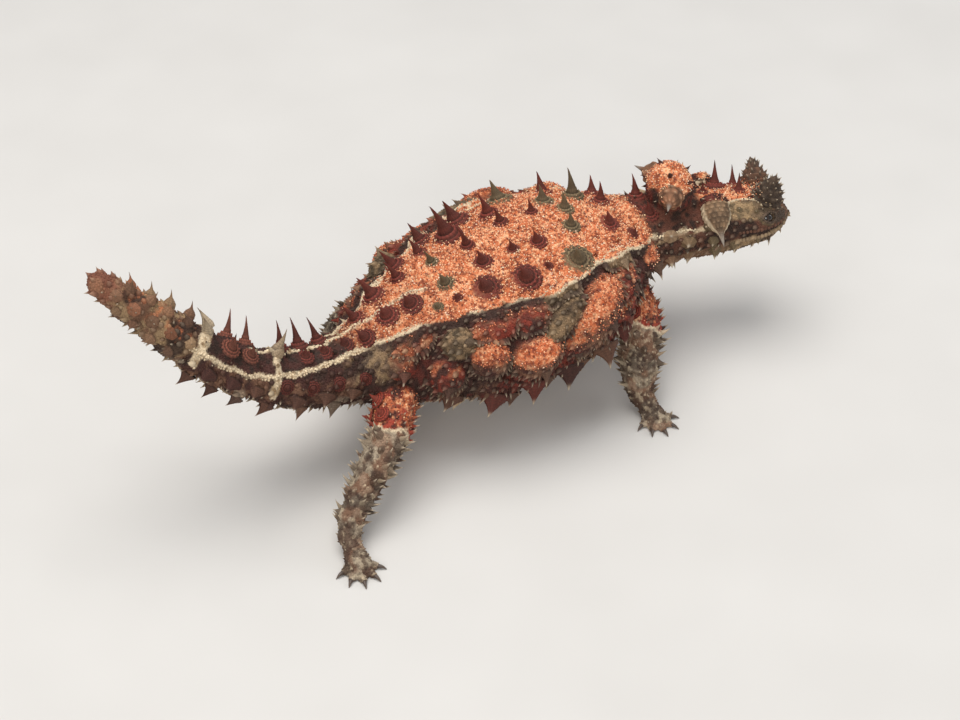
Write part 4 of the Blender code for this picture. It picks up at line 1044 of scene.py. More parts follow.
SKIN_PAINT = paint(SKIN_PLACES)
print("mean colour of the skin:", SKIN_PAINT.mean(0).round(3))

# %% [markdown]
# ## The finish of the hide
# Dry horny skin is rough with a faint shine on worn edges. The painted colour comes as an
# attribute of the points, and nodes add what is too fine to model: specks of dust, and pores
# that the Bump node raises.


# %% Hide finish
def hide_finish(name, rough, dust):
    """The painted colour with specks of dust, a little light and dark, and pores as a bump."""
    finish = Finish(name)
    paint_node = finish.node("ShaderNodeAttribute", {"attribute_name": "paint"})
    speck, pore = finish.grain(0.16), finish.grain(0.09, 1.0)
    worn = finish.mix(paint_node, (0.74, 0.46, 0.32, 1), dust * (speck ** 3.0))
    colour = finish.mix(worn, finish.mix((0.72, 0.70, 0.70, 1), (1.2, 1.18, 1.15, 1), speck), 1.0, "MULTIPLY")
    return finish.set(Base_Color=colour, Roughness=rough + 0.2 * speck, Specular_IOR_Level=0.3,
                      Normal=finish.bump(speck + 0.5 * pore, 0.5, 0.05))


HIDE = hide_finish("hide_dry", 0.66, 0.2)


def dress(name, mesh, loops, colours, material, patches=None):
    """Give a mesh its colours, its bake map and its material, and hang it on the animal."""
    attribute = mesh.color_attributes.new("paint", "FLOAT_COLOR", "POINT")
    attribute.data.foreach_set("color", np.c_[colours, np.ones(len(colours))].astype(np.float32).ravel())
    if patches is not None:
        layer = mesh.uv_layers.new(name="OFBake")
        layer.data.foreach_set("uv", patches[loops].astype(np.float32).ravel())
    mesh.materials.clear()
    mesh.materials.append(material)
    piece = bpy.data.objects.new(name, mesh)
    bpy.context.scene.collection.objects.link(piece)
    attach(piece, "root")
    return piece


SKIN.shade_smooth()
skin = dress("skin", SKIN, None, SKIN_PAINT, HIDE)
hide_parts(*[node for node in frame["nodes"] if not node.startswith("eye_")])

# %% [markdown]
# ## The coat of granules
# Between the thorns the hide is paved with round granules about half a millimetre wide. A random
# scatter with a least distance between neighbours gives their even but irregular paving. Each
# granule is a dome of a few faces, repeated as one whole array, and sits upright on the skin.

# %% Scatter over the skin
SKIN.calc_loop_triangles()
CORNERS = np.empty(len(SKIN.loop_triangles) * 3, np.int32)
SKIN.loop_triangles.foreach_get("vertices", CORNERS)
CORNERS = CORNERS.reshape(-1, 3)
SURFACE = BVHTree.FromPolygons(SKIN_POINTS.tolist(), CORNERS.tolist())


def scatter(count, seed):
    """Random points on the skin, equally dense everywhere, with their normals."""
    draw = np.random.default_rng(seed)
    a, b, c = (SKIN_POINTS[CORNERS[:, k]] for k in range(3))
    area = np.linalg.norm(np.cross(b - a, c - a), axis=1)
    pick = draw.choice(len(CORNERS), count, p=area / area.sum())
    share = draw.dirichlet((1, 1, 1), count)[:, :, None]
    corners = CORNERS[pick]
    points = (SKIN_POINTS[corners] * share).sum(1)
    return points, unit((SKIN_NORMALS[corners] * share).sum(1))


def thin_out(points, spacing):
    """Keep points in turn, dropping any that lies nearer to a kept one than the spacing there."""
    tree = KDTree(len(points))
    for number, point in enumerate(points):
        tree.insert(point, number)
    tree.balance()
    dropped, kept = np.zeros(len(points), bool), []
    for number in np.flatnonzero(spacing > 0):
        if not dropped[number]:
            kept.append(number)
            for _, other, _ in tree.find_range(points[number], spacing[number]):
                dropped[other] = True
    return np.array(kept)


def settle(points):
    """Nearest places on the skin, with the way out of it there."""
    found = [SURFACE.find_nearest(point)[:2] for point in np.asarray(points)]
    return np.array([f[0] for f in found]), np.array([f[1] for f in found])


def bake_roots(at):
    """Place of each point on an unwrap of the skin: the body on the left, each leg in a strip."""
    lengths = np.array([leg.length for leg in LEG.values()])[at.leg]
    body = np.stack([0.02 + 0.60 * (at.s - TAIL_END) / (SNOUT_END - TAIL_END),
                     0.02 + 0.96 * (at.angle + 180) / 360], 1)
    limb = np.stack([0.65 + 0.33 * at.t / lengths,
                     0.01 + 0.25 * at.leg + 0.22 * (at.turn + 180) / 360], 1)
    return np.where(at.leg_share[:, None] > 0.5, limb, body)


def around_axis(ways, lead):
    """Two directions across each way, the first as near to the lead as it can be."""
    across = lead - (lead * ways).sum(1, keepdims=True) * ways
    across = unit(across + 1e-6 * np.array([0.3, 0.9, 0.2]))
    return across, np.cross(ways, across)


# Half width of the patch of the unwrap that each small shape is baked into
PATCH = 0.0015


def repeat_shape(name, at, shape, faces, across, over, ways, colours):
    """Copy a small shape to every place: its x, y and z go along across, over and the way out.
    The shape may be one for all, or one for each place."""
    shape = np.broadcast_to(shape, (len(at.points), *shape.shape[-2:]))
    axes = np.stack([across, over, ways], 1)
    points = at.points[:, None] + np.einsum("nvk,nkc->nvc", shape, axes)
    points = above_floor(points)
    flat = shape[:, :, :2] / (np.abs(shape[:, :, :2]).max((1, 2), keepdims=True) + 1e-9)
    patches = bake_roots(at)[:, None] + PATCH * flat
    step = (np.arange(len(points)) * shape.shape[1])[:, None, None]
    all_faces = [(f[None] + step).reshape(-1, f.shape[1]) for f in faces]
    mesh, loops = make_mesh(name, points.reshape(-1, 3), all_faces)
    triangles = sum(len(f) * (f.shape[1] - 2) for f in all_faces)
    print(name, len(points), "copies,", triangles, "triangles")
    return dress(name, mesh, loops, np.clip(colours.reshape(-1, 3), 0, 1), HIDE,
                 patches.reshape(-1, 2))


# %% Shape of a granule
def dome_shape():
    """Six-sided dome of radius one: a foot, open and under the skin, a shoulder and a crown."""
    turn = -2 * np.pi * np.arange(6) / 6
    ring = np.stack([np.cos(turn), np.sin(turn)], 1)
    points = np.vstack([np.c_[ring, np.full(6, -0.35)], np.c_[0.78 * ring, np.full(6, 0.36)],
                        [[0, 0, 0.62]]])
    a = np.arange(6)
    b = (a + 1) % 6
    sides = np.stack([a, a + 6, b + 6, b], 1)
    return points, [sides, np.stack([np.full(6, 12), b + 6, a + 6], 1)]


DOME, DOME_FACES = dome_shape()
# Painted shade and highlight of its foot, shoulder and crown: the foot dark where shade falls between
# granules, the crown light as if lit
DOME_PAINTED_SHADING = np.r_[np.full(6, 0.5), np.full(6, 0.95), 1.18]


def granules(name, at, wide, colours, seed, tall=1.0):
    """Granules of the given half widths, each turned, stretched and tinted a little by chance, with painted
    shade at its foot and a painted highlight on its crown.
    """
    draw = np.random.default_rng(seed)
    count = len(at.points)
    lead = unit(draw.normal(size=(count, 3)))
    across, over = around_axis(at.normals, lead)
    size = wide * draw.uniform(0.86, 1.14, count)
    stretch = np.stack([size * draw.uniform(0.9, 1.1, count), size, size * tall], 1)
    # Each granule's tint carries painted shade at its foot and a painted highlight on its crown
    tint = draw.uniform(0.78, 1.2, count)[:, None, None] * DOME_PAINTED_SHADING[None, :, None]
    return repeat_shape(name, at, DOME * stretch[:, None], DOME_FACES, across, over, at.normals,
                        colours[:, None] * tint)


# %% Granules over the whole hide
def pick(at, chosen):
    """The same places, only the chosen ones."""
    part = object.__new__(Places)
    for key, value in vars(at).items():
        setattr(part, key, value[chosen])
    return part


def granule_spacing(at):
    """Least distance between granules in mm: fine on the back and head, coarse on the belly."""
    around = np.abs(at.angle)
    spacing = np.where(around > 112, 0.66, np.where(at.drop > 1.5, 0.47, 0.45))
    spacing = np.where(at.s < -6, np.where(around > 105, 0.60, 0.48), spacing)
    spacing = np.where(at.s > 60, np.where(around > 110, 0.56, 0.45), spacing)
    spacing = np.where(at.knob > 0.5, 0.45, spacing)
    spacing = np.where(at.leg_share > 0.5, 0.48, spacing)
    covered = (KIND[at.thorn] <= OLIVE_DISC) & (at.ratio < 0.77) & (at.leg_share < 0.5) & (at.knob < 0.5)
    eye_gap = np.min([np.linalg.norm(at.points - eye[0], axis=1) for eye in EYES], axis=0)
    return np.where(covered | (eye_gap < 1.7) | (at.points[:, 2] < 0.15), 0, spacing)


candidates = Places(*scatter(count=230000, seed=3))
SPACING = granule_spacing(candidates)
chosen = thin_out(candidates.points, SPACING)
GRAINS, GRAIN_WIDE = pick(candidates, chosen), 0.54 * SPACING[chosen]
GRAIN_PAINT = paint(GRAINS)
trunk = (GRAINS.s > -4) & (GRAINS.s < 60) & (GRAINS.leg_share < 0.5)
around = np.abs(GRAINS.angle)
REGIONS = {
    "granules_legs": (GRAINS.leg_share >= 0.5, "hide_legs"),
    "granules_tail": ((GRAINS.s <= -4) & (GRAINS.leg_share < 0.5), "hide_tail"),
    "granules_head": ((GRAINS.s >= 60) & (GRAINS.leg_share < 0.5), "hide_head"),
    "granules_back": (trunk & (GRAINS.drop < 0), "hide_body"),
    "granules_side": (trunk & (GRAINS.drop >= 0) & (around < 112), "hide_body"),
    "granules_belly": (trunk & (GRAINS.drop >= 0) & (around >= 112), "hide_body"),
}
for seed, (name, (mask, slot)) in enumerate(REGIONS.items()):
    granules(name, pick(GRAINS, mask), GRAIN_WIDE[mask], GRAIN_PAINT[mask], 100 + seed)

# %% [markdown]
# ## Pale lines and plates
# The pale line along each flank is a row of larger round granules, and so are the line down the
# middle of the tail base, the ridge over the cheek, the rims of the eyelids and the plates of the
# lips. They are laid along their own lines, with a little chance in them, and dropped on to the
# skin.


# %% Rows of large granules
def row_of_granules(name, points, wide, colours, seed, tall=1.0):
    """Granules on the nearest places of the skin, each a little lighter or darker by chance."""
    places, normals = settle(points)
    at = Places(places, normals)
    draw = np.random.default_rng(seed)
    colours = np.broadcast_to(colours, (len(points), 3)) * draw.uniform(0.78, 1.08, (len(points), 1))
    granules(name, at, np.broadcast_to(wide, len(points)), colours, seed, tall)


def pale_line(side, shift, step, seed):
    """Points along the pale line of one flank, below it by the shift in mm, with some chance in it;
    on the trunk the sand has buried parts of it."""
    draw = np.random.default_rng(seed)
    s = np.arange(-46.0, 74.0, step)
    s = s + draw.uniform(-0.3, 0.3, len(s)) * step
    level = np.interp(s, *LINE_AT.T)
    drop = line_drop(s, level)
    angle = level + np.degrees((shift - drop + draw.uniform(-0.22, 0.22, len(s))) / mean_reach(s))
    points = body_point(s, side * angle)
    keep = np.linalg.norm(points[:, None] - LEG_LINE, axis=2).min(1) > 3.6
    return points[keep & (noise(points, 3.4, 27) > np.where(s < -6, 0.0, 0.3))]


def on_tail(points):
    """Only the points on the tail."""
    return points[body_place(points)[0] < -8.0]


trunk_line = [pale_line(side, 0.0, 0.44, 11 + side) for side in (-1, 1)]
row_of_granules("pale_line", np.vstack(trunk_line), 0.29, CREAM, 201, 1.3)
tail_line = [on_tail(pale_line(side, shift, 0.55, 21 + side)) for side in (-1, 1) for shift in (0.0, 0.5)]
tail_line = np.vstack(tail_line)
row_of_granules("pale_line_tail", tail_line[noise(tail_line, 2.2, 29) > 0.36], 0.30,
                mix(CREAM, TAN, 0.35), 202, 1.2)
s = np.arange(-33.0, 11.0, 0.5)
jitter = np.random.default_rng(24).uniform(-0.3, 0.3, len(s))
middle_line = body_point(s, np.interp(s, MIDDLE_AT, MIDDLE) + np.degrees(jitter / blend(s, STATION, ABOVE)))
row_of_granules("pale_line_middle", middle_line[noise(middle_line, 3.4, 27) > 0.25], 0.33, CREAM,
                203, 1.3)

# %% Ridges, lids and lips of the head
brow_s = np.arange(77.2, 86.0, 0.5)
brow_angle = np.interp(brow_s, (77, 78, 80, 82, 84, 86), (42, 37, 30, 30, 35, 44))
ridge = np.vstack([body_point(brow_s, side * brow_angle) for side in (-1, 1)])
row_of_granules("brow_ridge", ridge, 0.40, mix(CREAM, TAN, 0.15), 204, 1.2)


def lid_ring(eye, wide, high, count):
    """Almond ring round an eye; the height of the almond falls off towards both corners."""
    middle, along, over, away = eye
    turn = 2 * np.pi * (np.arange(count) + 0.5) / count
    return (middle + (wide * np.cos(turn))[:, None] * along
            + (high * np.sin(turn) * np.abs(np.sin(turn)) ** 0.25)[:, None] * over + 0.6 * away)


inner = np.vstack([lid_ring(eye, 1.5, 0.72, 28) for eye in EYES])
row_of_granules("lids_inner", inner, 0.24, GREY_DARK * 0.6, 205, 1.4)
outer = np.vstack([lid_ring(eye, 2.05, 1.25, 24) for eye in EYES])
row_of_granules("lids_outer", outer, 0.31, GREY_DARK * 1.2, 206, 1.2)
row_of_granules("lip_upper", mouth_line(93, -0.3), 0.46, mix(MAROON_DARK, BROWN, 0.4),
                207, 1.2)
row_of_granules("lip_lower", mouth_line(106, -0.3), 0.52, mix(GREY, TAN, 0.5),
                208, 1.2)

# %% [markdown]
# ## Large thorns
# A thorn of the back is a stout, slightly hooked spine in the middle of a disc, and the disc is
# made of two rings of scales that point outwards, like the rays of a limpet. On the flanks the
# thorns are blunter leaves on big swellings, pale at the tip. Both are a profile turned round an
# axis, with ridges from a cosine of the turn, and they lean back more and more towards the tip.

# %% Profiles of the thorns
# Parts of the radius, relief in parts of the height, painted shade (dark in the grooves and at the foot, a
# painted highlight on raised rings), and depth of the rays, from rim to tip
ROSETTE = np.array([
    (1.10, -0.06, 0.45, 0.0), (1.02, 0.02, 0.80, 0.8), (0.93, 0.08, 1.50, 1.0),
    (0.86, 0.06, 0.80, 0.7), (0.80, 0.01, 0.35, 0.2), (0.74, 0.06, 0.80, -0.6),
    (0.66, 0.13, 1.95, -1.0), (0.60, 0.10, 0.85, -0.6), (0.54, 0.03, 0.30, 0.1),
    (0.48, 0.09, 0.60, 0.5), (0.42, 0.20, 1.10, 0.8), (0.36, 0.24, 0.75, 0.5),
    (0.30, 0.34, 0.70, 0.4), (0.235, 0.46, 0.85, 0.3), (0.175, 0.58, 0.90, 0.2),
    (0.12, 0.71, 0.95, 0.1), (0.075, 0.84, 1.10, 0.0), (0.03, 0.95, 1.35, 0.0)])
SPIKE = np.array([
    (1.15, -0.14, 0.50, 0.2), (1.04, -0.02, 0.80, 0.6), (0.96, 0.050, 1.15, 1.0),
    (0.85, 0.100, 0.75, 0.6), (0.77, 0.160, 1.15, 1.0), (0.66, 0.220, 0.80, 0.7),
    (0.58, 0.290, 1.12, 1.0), (0.49, 0.360, 0.85, 0.7), (0.41, 0.440, 1.05, 0.8),
    (0.33, 0.530, 0.95, 0.6), (0.25, 0.620, 1.00, 0.5), (0.18, 0.710, 1.00, 0.3),
    (0.12, 0.800, 1.00, 0.2), (0.065, 0.900, 1.00, 0.0), (0.025, 0.970, 1.00, 0.0)])
KNOLL = np.array([
    (1.15, -0.14, 0.50, 0.2), (1.06, 0.02, 0.90, 0.6), (0.98, 0.12, 1.20, 1.0), (0.86, 0.20, 0.80, 0.6),
    (0.76, 0.25, 1.10, 0.9), (0.62, 0.32, 0.85, 0.7), (0.52, 0.36, 1.10, 0.8), (0.38, 0.42, 0.90, 0.6),
    (0.26, 0.50, 1.00, 0.4), (0.17, 0.62, 1.00, 0.2), (0.10, 0.76, 1.00, 0.0), (0.04, 0.92, 1.00, 0.0)])
PRICK = np.array([(1.1, -0.2, 0.6, 0), (0.85, 0.12, 0.95, 0), (0.5, 0.42, 1.0, 0), (0.2, 0.75, 1.0, 0)])


def turned_faces(rows, sides):
    """Faces of a turned grid, shut by a fan at its tip and by one flat face at its foot."""
    a = np.arange(sides)
    b, last = (a + 1) % sides, (rows - 1) * sides
    foot = np.arange(sides)[None, ::-1]
    return [grid_faces(rows, sides), np.stack([np.full(sides, rows * sides), last + b, last + a], 1), foot]


def thorn_shapes(profile, sides, rays, wide, tall, dome, lean, flat, ray_depth):
    """Thorns about +z: radius of the profile with rays of a cosine, height of its relief on top
    of the dome that the skin makes, flattened across y, moved along -x by lean times the height
    at the tip and less and less below it."""
    turn = -2 * np.pi * np.arange(sides) / sides
    part, relief, _, ray = profile.T
    wave = ray[:, None] * np.cos(rays * turn)[None]
    radius = part[:, None] * (1 + ray_depth * wave)
    rise = relief[:, None] + 0.02 * wave
    share, reach = dome
    swell = np.clip(1 - (part / reach[:, None]) ** 2, 0, 1) ** 2 * share[:, None]
    height = tall[:, None, None] * (rise[None] + swell[:, :, None])
    x = wide[:, None, None] * radius * np.cos(turn)
    y = wide[:, None, None] * radius * np.sin(turn) * flat[:, None, None]
    above = np.clip(relief - 0.1, 0, 1)[None, :, None]
    x = x - (lean * tall)[:, None, None] * (0.35 * above + 0.65 * above**2)
    tip = np.stack([-(lean * tall), 0 * tall, tall * (1 + share * (swell[:, -1] > 0))], 1)
    shape = np.stack([x, y, height], -1).reshape(len(wide), -1, 3)
    return np.concatenate([shape, tip[:, None]], 1)


def thorn_colours(profile, sides, rays, base, tip, pale_from):
    """Base colour times the painted shade of each ring, with a painted highlight on every ray and painted
    shade between the rays, turning to the tip colour.
    """
    turn = -2 * np.pi * np.arange(sides) / sides
    # Painted shade and highlight: each ring's shade from the profile, lighter on the rays, darker between
    # them
    shade = profile[:, 2:3] * (1 + 0.22 * profile[:, 3:4] * np.cos(rays * turn)[None])
    rise = np.repeat(profile[:, 1], sides)
    colours = base[:, None] * shade.reshape(1, -1, 1)
    share = ease(rise[None], pale_from[:, None], pale_from[:, None] + 0.3)[..., None]
    colours = colours + (tip[:, None] - colours) * share
    return np.concatenate([colours, tip[:, None]], 1)


# %% Large thorns of the body
def thorn_batch(name, at, ways, wide, tall, base, tip, profile=SPIKE, sides=20, rays=7, share=0.0,
                reach=1.0, lean=0.15, flat=1.0, pale_from=0.55, ray_depth=0.10, lead=None):
    """A coat piece of thorns at the places, along the ways; a size is one for all or one for each.
    Share and reach are the height and width of the dome of skin under a thorn, in parts of it."""
    count = len(at.points)

    def full(value):
        return np.broadcast_to(np.asarray(value, float), (count,)) + 0.0

    shapes = thorn_shapes(profile, sides, rays, full(wide), full(tall), (full(share), full(reach)),
                          full(lean), full(flat), ray_depth)
    colours = thorn_colours(profile, sides, rays, np.broadcast_to(base, (count, 3)),
                            np.broadcast_to(tip, (count, 3)), full(pale_from))
    lead = ahead_at(at.s) if lead is None else lead
    across, over = around_axis(ways, lead)
    return repeat_shape(name, at, shapes, turned_faces(len(profile), sides), across, over, ways,
                        colours)


# Whorls and smoothing move the skin of the tail, so its discs are raised to where the skin is
ON_SKIN = ((settle(THORN_ROOTS)[0] - THORN_ROOTS) * THORN_NORMALS).sum(1) - LIFT
print("skin above the roots of the tail discs in mm:",
      ON_SKIN[(KIND <= OLIVE_DISC) & (THORN_S < -6)].round(2))
RAISED = np.where(THORN_S < -6, np.clip(1.3 * ON_SKIN + 0.2, 0, 2.5), 0)[:, None]
THORN_AT = Places(THORN_ROOTS + (RAISED - 0.3) * THORN_NORMALS, THORN_NORMALS)
TINT = np.random.default_rng(8).uniform(0.82, 1.18, len(THORNS))[:, None]
on_back = KIND <= OLIVE_DISC
at = pick(THORN_AT, on_back)
base = np.where(KIND[on_back, None] == OLIVE_DISC, OLIVE, MAROON) * TINT[on_back]
base = base * np.where(at.s < -6, np.where(np.abs(at.angle) > 50, 0.7, 0.85), 1.0)[:, None]
base = np.where(at.s[:, None] < -30, base * 0.75 + 0.25 * BROWN, base)
tip = np.where(KIND[on_back, None] == OLIVE_DISC, GREY, MAROON_DARK * 1.3)
lean = np.where(THORN_ANGLE[on_back] < -15, 0.42, 0.22)
thorn_batch("thorns_back", at, unit(at.normals - 0.12 * ahead_at(at.s)), THORN_WIDE[on_back],
            THORN_TALL[on_back], base, tip, ROSETTE, sides=28, rays=14, share=0.2,
            reach=1.35, lean=lean, pale_from=0.8, lead=unit(ahead_at(at.s) - [0, 0, 1.3]))


def thorns_on_folds(name, kinds, wide, tall, flat, base_share, tip, down, slot, pale, profile):
    """Thorns that stand on swellings, moved and leaned down by a part of the half height."""
    chosen = np.isin(KIND, kinds) & (THORN_TALL > 0.5)
    roots = THORN_ROOTS[chosen] - down * (HALF_HIGH[chosen, None] * FOLD_HIGH[chosen])
    roots, normals = settle(roots + 0.5 * LIFT[chosen, None] * THORN_NORMALS[chosen])
    clear = np.linalg.norm(roots[:, None] - LEG_LINE, axis=2).min(1) > 4.2
    roots, normals = roots[clear], normals[clear]
    at = Places(roots, normals)
    base = mix(paint(at), *base_share) * TINT[chosen][clear]
    ways = unit(normals - 0.3 * ahead_at(at.s) - 0.9 * down * FOLD_HIGH[chosen][clear])
    thorn_batch(name, at, ways, wide * THORN_WIDE[chosen][clear], tall * THORN_TALL[chosen][clear], base,
                tip, profile, lean=0.3, flat=flat, pale_from=pale)


# Name, kinds, parts of width, height and flatness, base colour and its share, tip, part down the
# swelling, slot, height from which the tip is pale, profile
FOLD_THORNS = [
    ("fold", (MAROON_FOLD, OLIVE_FOLD, SANDY_FOLD), 1.0, 1.0, 0.75, (GREY_DARK, 0.5), GREY_PALE, 0.55,
     "hide_body", 0.6, SPIKE),
    ("leaf", (LEAF_FOLD,), 1.0, 1.0, 0.5, (MAROON_DARK, 0.35), GREY_PALE, 0.15, "hide_body", 0.66, SPIKE),
    ("low", (LOW_THORN,), 0.75, 0.85, 0.7, (TAN, 0.3), GREY_PALE, 0.0, "hide_body", 0.4, SPIKE),
    ("neck", (SIDE_THORN,), 0.8, 0.85, 0.75, (TAN, 0.5), GREY_PALE, 0.0, "hide_body", 0.5, SPIKE),
    ("pale", (PALE_THORN,), 1.0, 1.0, 0.8, (GREY, 0.6), GREY, 0.0, "hide_tail", 0.5, SPIKE),
    ("lobe", (LOBE,), 0.8, 0.9, 0.7, (MAROON_DARK, 0.3), GREY_PALE, 0.3, "hide_tail", 0.72, SPIKE),
    ("lump", (LUMP,), 0.68, 0.95, 0.85, (BROWN * 0.8, 0.35), GREY, 0.0, "hide_tail", 0.6, KNOLL)]
for name, *values in FOLD_THORNS:
    thorns_on_folds("thorns_" + name, *values)

# %% Scales along the lower rims of the folds
def fold_rims():
    """Places along the lower rim of every long fold, from one end to the other, and the way down
    along the skin at each."""
    long_fold = np.isin(KIND, (MAROON_FOLD, OLIVE_FOLD, SANDY_FOLD)) & (HALF_LONG > 3.7)
    turn = np.radians(np.arange(-170, -9, 11.0))[None, :, None]
    along = (FOLD_LONG * HALF_LONG[:, None])[long_fold, None]
    over = (FOLD_HIGH * HALF_HIGH[:, None])[long_fold, None]
    points = THORN_ROOTS[long_fold, None] + 0.95 * (np.cos(turn) * along + np.sin(turn) * over)
    down = np.repeat(-FOLD_HIGH[long_fold, None], turn.shape[1], 1)
    return points.reshape(-1, 3), down.reshape(-1, 3)


points, down = fold_rims()
roots, normals = settle(points)
near = np.linalg.norm(roots - points, axis=1) < 1.6
at = Places(roots[near], normals[near])
draw = np.random.default_rng(12)
size = draw.uniform(0.7, 1.3, len(at.points))
base = mix(paint(at) * 0.8, GREY_DARK, 0.5)
thorn_batch("rim_scales", at, unit(at.normals + 0.7 * down[near]), 0.6 * size, 1.15 * size, base,
            GREY * draw.uniform(0.7, 1.3, (len(size), 1)), PRICK, sides=7, rays=3,
            lean=0.3, pale_from=0.4, ray_depth=0.0)

# %% Large thorns of knees and elbows, and discs of the thighs and upper arms
KNEE = [(15.6, -80, 2.6), (15.8, -15, 2.4), (16.4, 60, 2.4), (17.8, -50, 2.6), (18.2, 15, 2.2),
        (19.8, -95, 2.4), (20.4, 80, 2.4), (22.6, -70, 2.0), (23.8, 75, 2.0), (26.6, -85, 1.8),
        (28.4, 80, 1.8), (30.6, -60, 1.5)]
THIGH = [(8.6, -50, 1.6), (11.2, -82, 1.5), (11.6, -28, 1.5)]


def on_legs(table, gap):
    """Roots, ways out, ways to the foot and sizes of the table's places on every leg; the left
    legs take the mirrored angles, and places within the gap of the foot are left out."""
    rows = []
    for name, leg in LEG.items():
        side = 1 if name.endswith("right") else -1
        t, angle, size = np.array([row for row in table if row[0] < leg.length - gap]).T
        point, out = leg.skin(t, side * angle)
        rows.append(np.hstack([point, out, leg.frame(t)[1], size[:, None]]))
    rows = np.vstack(rows)
    return settle(rows[:, :3])[0], rows[:, 3:6], rows[:, 6:9], rows[:, 9]


roots, out, to_foot, size = on_legs(KNEE, 9.0)
at = Places(roots - 0.15 * out, out)
base = mix(paint(at) * 0.8, GREY_DARK, 0.5)
thorn_batch("knee_thorns", at, unit(out + 0.2 * to_foot), 0.42 * size, size, base, GREY_PALE,
            SPIKE, sides=18, rays=6, lean=0.2, flat=0.75, pale_from=0.5, lead=to_foot)
roots, out, to_foot, size = on_legs(THIGH, 9.0)
at = Places(roots + 0.12 * out, out)
thorn_batch("thigh_discs", at, out, size, 1.1 * size, RED * 0.75, MAROON_DARK, ROSETTE,
            sides=28, rays=14, share=0.25, reach=1.5, lean=0.2, pale_from=0.8, lead=to_foot)

# %% [markdown]
# ## Small spines
# Between the large thorns stand hundreds of short spines: dark and few on the back, pale tipped
# and crowded low on the flanks, along the tail and down both edges of the legs. Each is a cone
# of a few faces, because there are so many.

# %% Small spines everywhere
def pointed_scales(name, at, size, seed):
    """Low pointed scales that lean back, lighter at their tips."""
    draw = np.random.default_rng(seed)
    size = size * draw.uniform(0.75, 1.25, len(at.points))
    base = paint(at)
    back = ahead_at(at.s)
    pale = np.where((at.s > -46) & (at.s < -2), 0.05, 0.2)
    thorn_batch(name, at, unit(at.normals - 0.4 * back), 0.50 * size, 0.80 * size, base * 0.8,
                mix(base * 1.15, GREY_PALE, pale), PRICK, sides=7, rays=3,
                lean=0.45, pale_from=0.2, ray_depth=0.0, lead=back)


candidates = Places(*scatter(count=40000, seed=4))
around = np.abs(candidates.angle)
rough = (candidates.drop > 0.9) & (around < 128) & (candidates.s < 84) & (candidates.leg_share < 0.5)
rough = rough & ~((KIND[candidates.thorn] == SANDY_FOLD) & (candidates.normals[:, 2] > -0.1))
rough = rough & ((candidates.s > 3) | (noise(candidates.points, 2.0, 63) > 0.45))
rough = rough | ((candidates.s < -46) & (around < 128))
rough = rough & (candidates.points[:, 2] > 1.0) & ((candidates.knob < 0.5) | (knob_sand(candidates) < 0.3))
size = 0.85 + 0.6 * noise(candidates.points, 3.0, 61)
chosen = thin_out(candidates.points, np.where(rough, 1.3 * size, 0))
scales = pick(candidates, chosen)
for name, mask, slot in (("scales_side", (scales.s > -5) & (scales.s < 58), "hide_body"),
                         ("scales_tail", scales.s <= -5, "hide_tail"),
                         ("scales_neck", scales.s >= 58, "hide_head")):
    pointed_scales(name, pick(scales, mask), size[chosen][mask], 62)


def spine_spacing(at):
    """Least distance between small spines in mm; none on discs, eyes, mouth and soles."""
    around = np.abs(at.angle)
    spacing = np.where(around < 30, 5.0, np.where(around > 125, 3.4, np.where(around < 92, 3.4, 1.9)))
    spacing = np.where(at.s < -6, np.where(around > 95, 2.1, 3.2), spacing)
    spacing = np.where(at.s > 58, 2.8, spacing)
    spacing = np.where(at.knob > 0.5, 3.0, spacing)
    edge = np.abs(np.sin(np.radians(at.turn)))
    spacing = np.where(at.leg_share > 0.5, 2.4 - 1.1 * edge, spacing)
    body = (at.leg_share < 0.5) & (at.knob < 0.5)
    covered = body & (KIND[at.thorn] <= OLIVE_DISC) & (at.ratio < 0.95)
    face = (at.s > 76) & body & (around > 25) & (around < 110)
    return np.where(covered | face | (at.points[:, 2] < 0.9), 0, spacing)


candidates = Places(*scatter(count=26000, seed=5))
spacing = spine_spacing(candidates)
chosen = thin_out(candidates.points, spacing)
at = pick(candidates, chosen)
draw = np.random.default_rng(9)
size = draw.uniform(0.7, 1.3, len(chosen))
around = np.abs(at.angle)
legs = at.leg_share > 0.5
tall = np.where(around < 35, 0.9, np.where(around > 125, 0.9, np.where(around < 92, 1.2, 1.9))) * size
tall = np.where(at.s < -6, 1.4 * size, tall)
tall = np.where(legs, (0.8 + 1.1 * np.abs(np.sin(np.radians(at.turn)))) * size, tall)
tall = np.where(legs & (at.points[:, 2] < 4), 0.6 * size, tall)
wide = np.minimum(0.22 + 0.15 * tall, 0.55)
leg_ahead = np.array([leg.frame(np.array([leg.length / 2]))[1][0] for leg in LEG.values()])[at.leg]
back = np.where(legs[:, None], leg_ahead, ahead_at(at.s))
ways = unit(at.normals - 0.35 * back)
tip = np.where((around < 40)[:, None] & ~legs[:, None] & (at.s < 60)[:, None], MAROON_DARK, GREY_PALE)
tip = tip * draw.uniform(0.8, 1.15, (len(chosen), 1))
base = paint(at) * 0.8
dull = ~legs & (at.s > -40) & (at.s < 58) & (around < 98)
tip = np.where(dull[:, None], mix(base * 1.2, tip, 0.3), tip)
for name, chosen, slot in (("spines_legs", legs, "hide_legs"), ("spines_body", ~legs, "hide_body")):
    thorn_batch(name, pick(at, chosen), ways[chosen], wide[chosen], tall[chosen], base[chosen], tip[chosen],
                PRICK, sides=6, rays=3, lean=0.2, pale_from=0.4, ray_depth=0.0, lead=back[chosen])

# %% [markdown]
# ## Horns, knob thorns and ear cones
# The biggest thorns of the head are cones shingled with pointed scales, like a pine cone: one
# over each eye, one to each side behind the ear, and one on each side of the false head on the
# nape. Each is a cone whose radius grows along every scale and drops at its free edge.


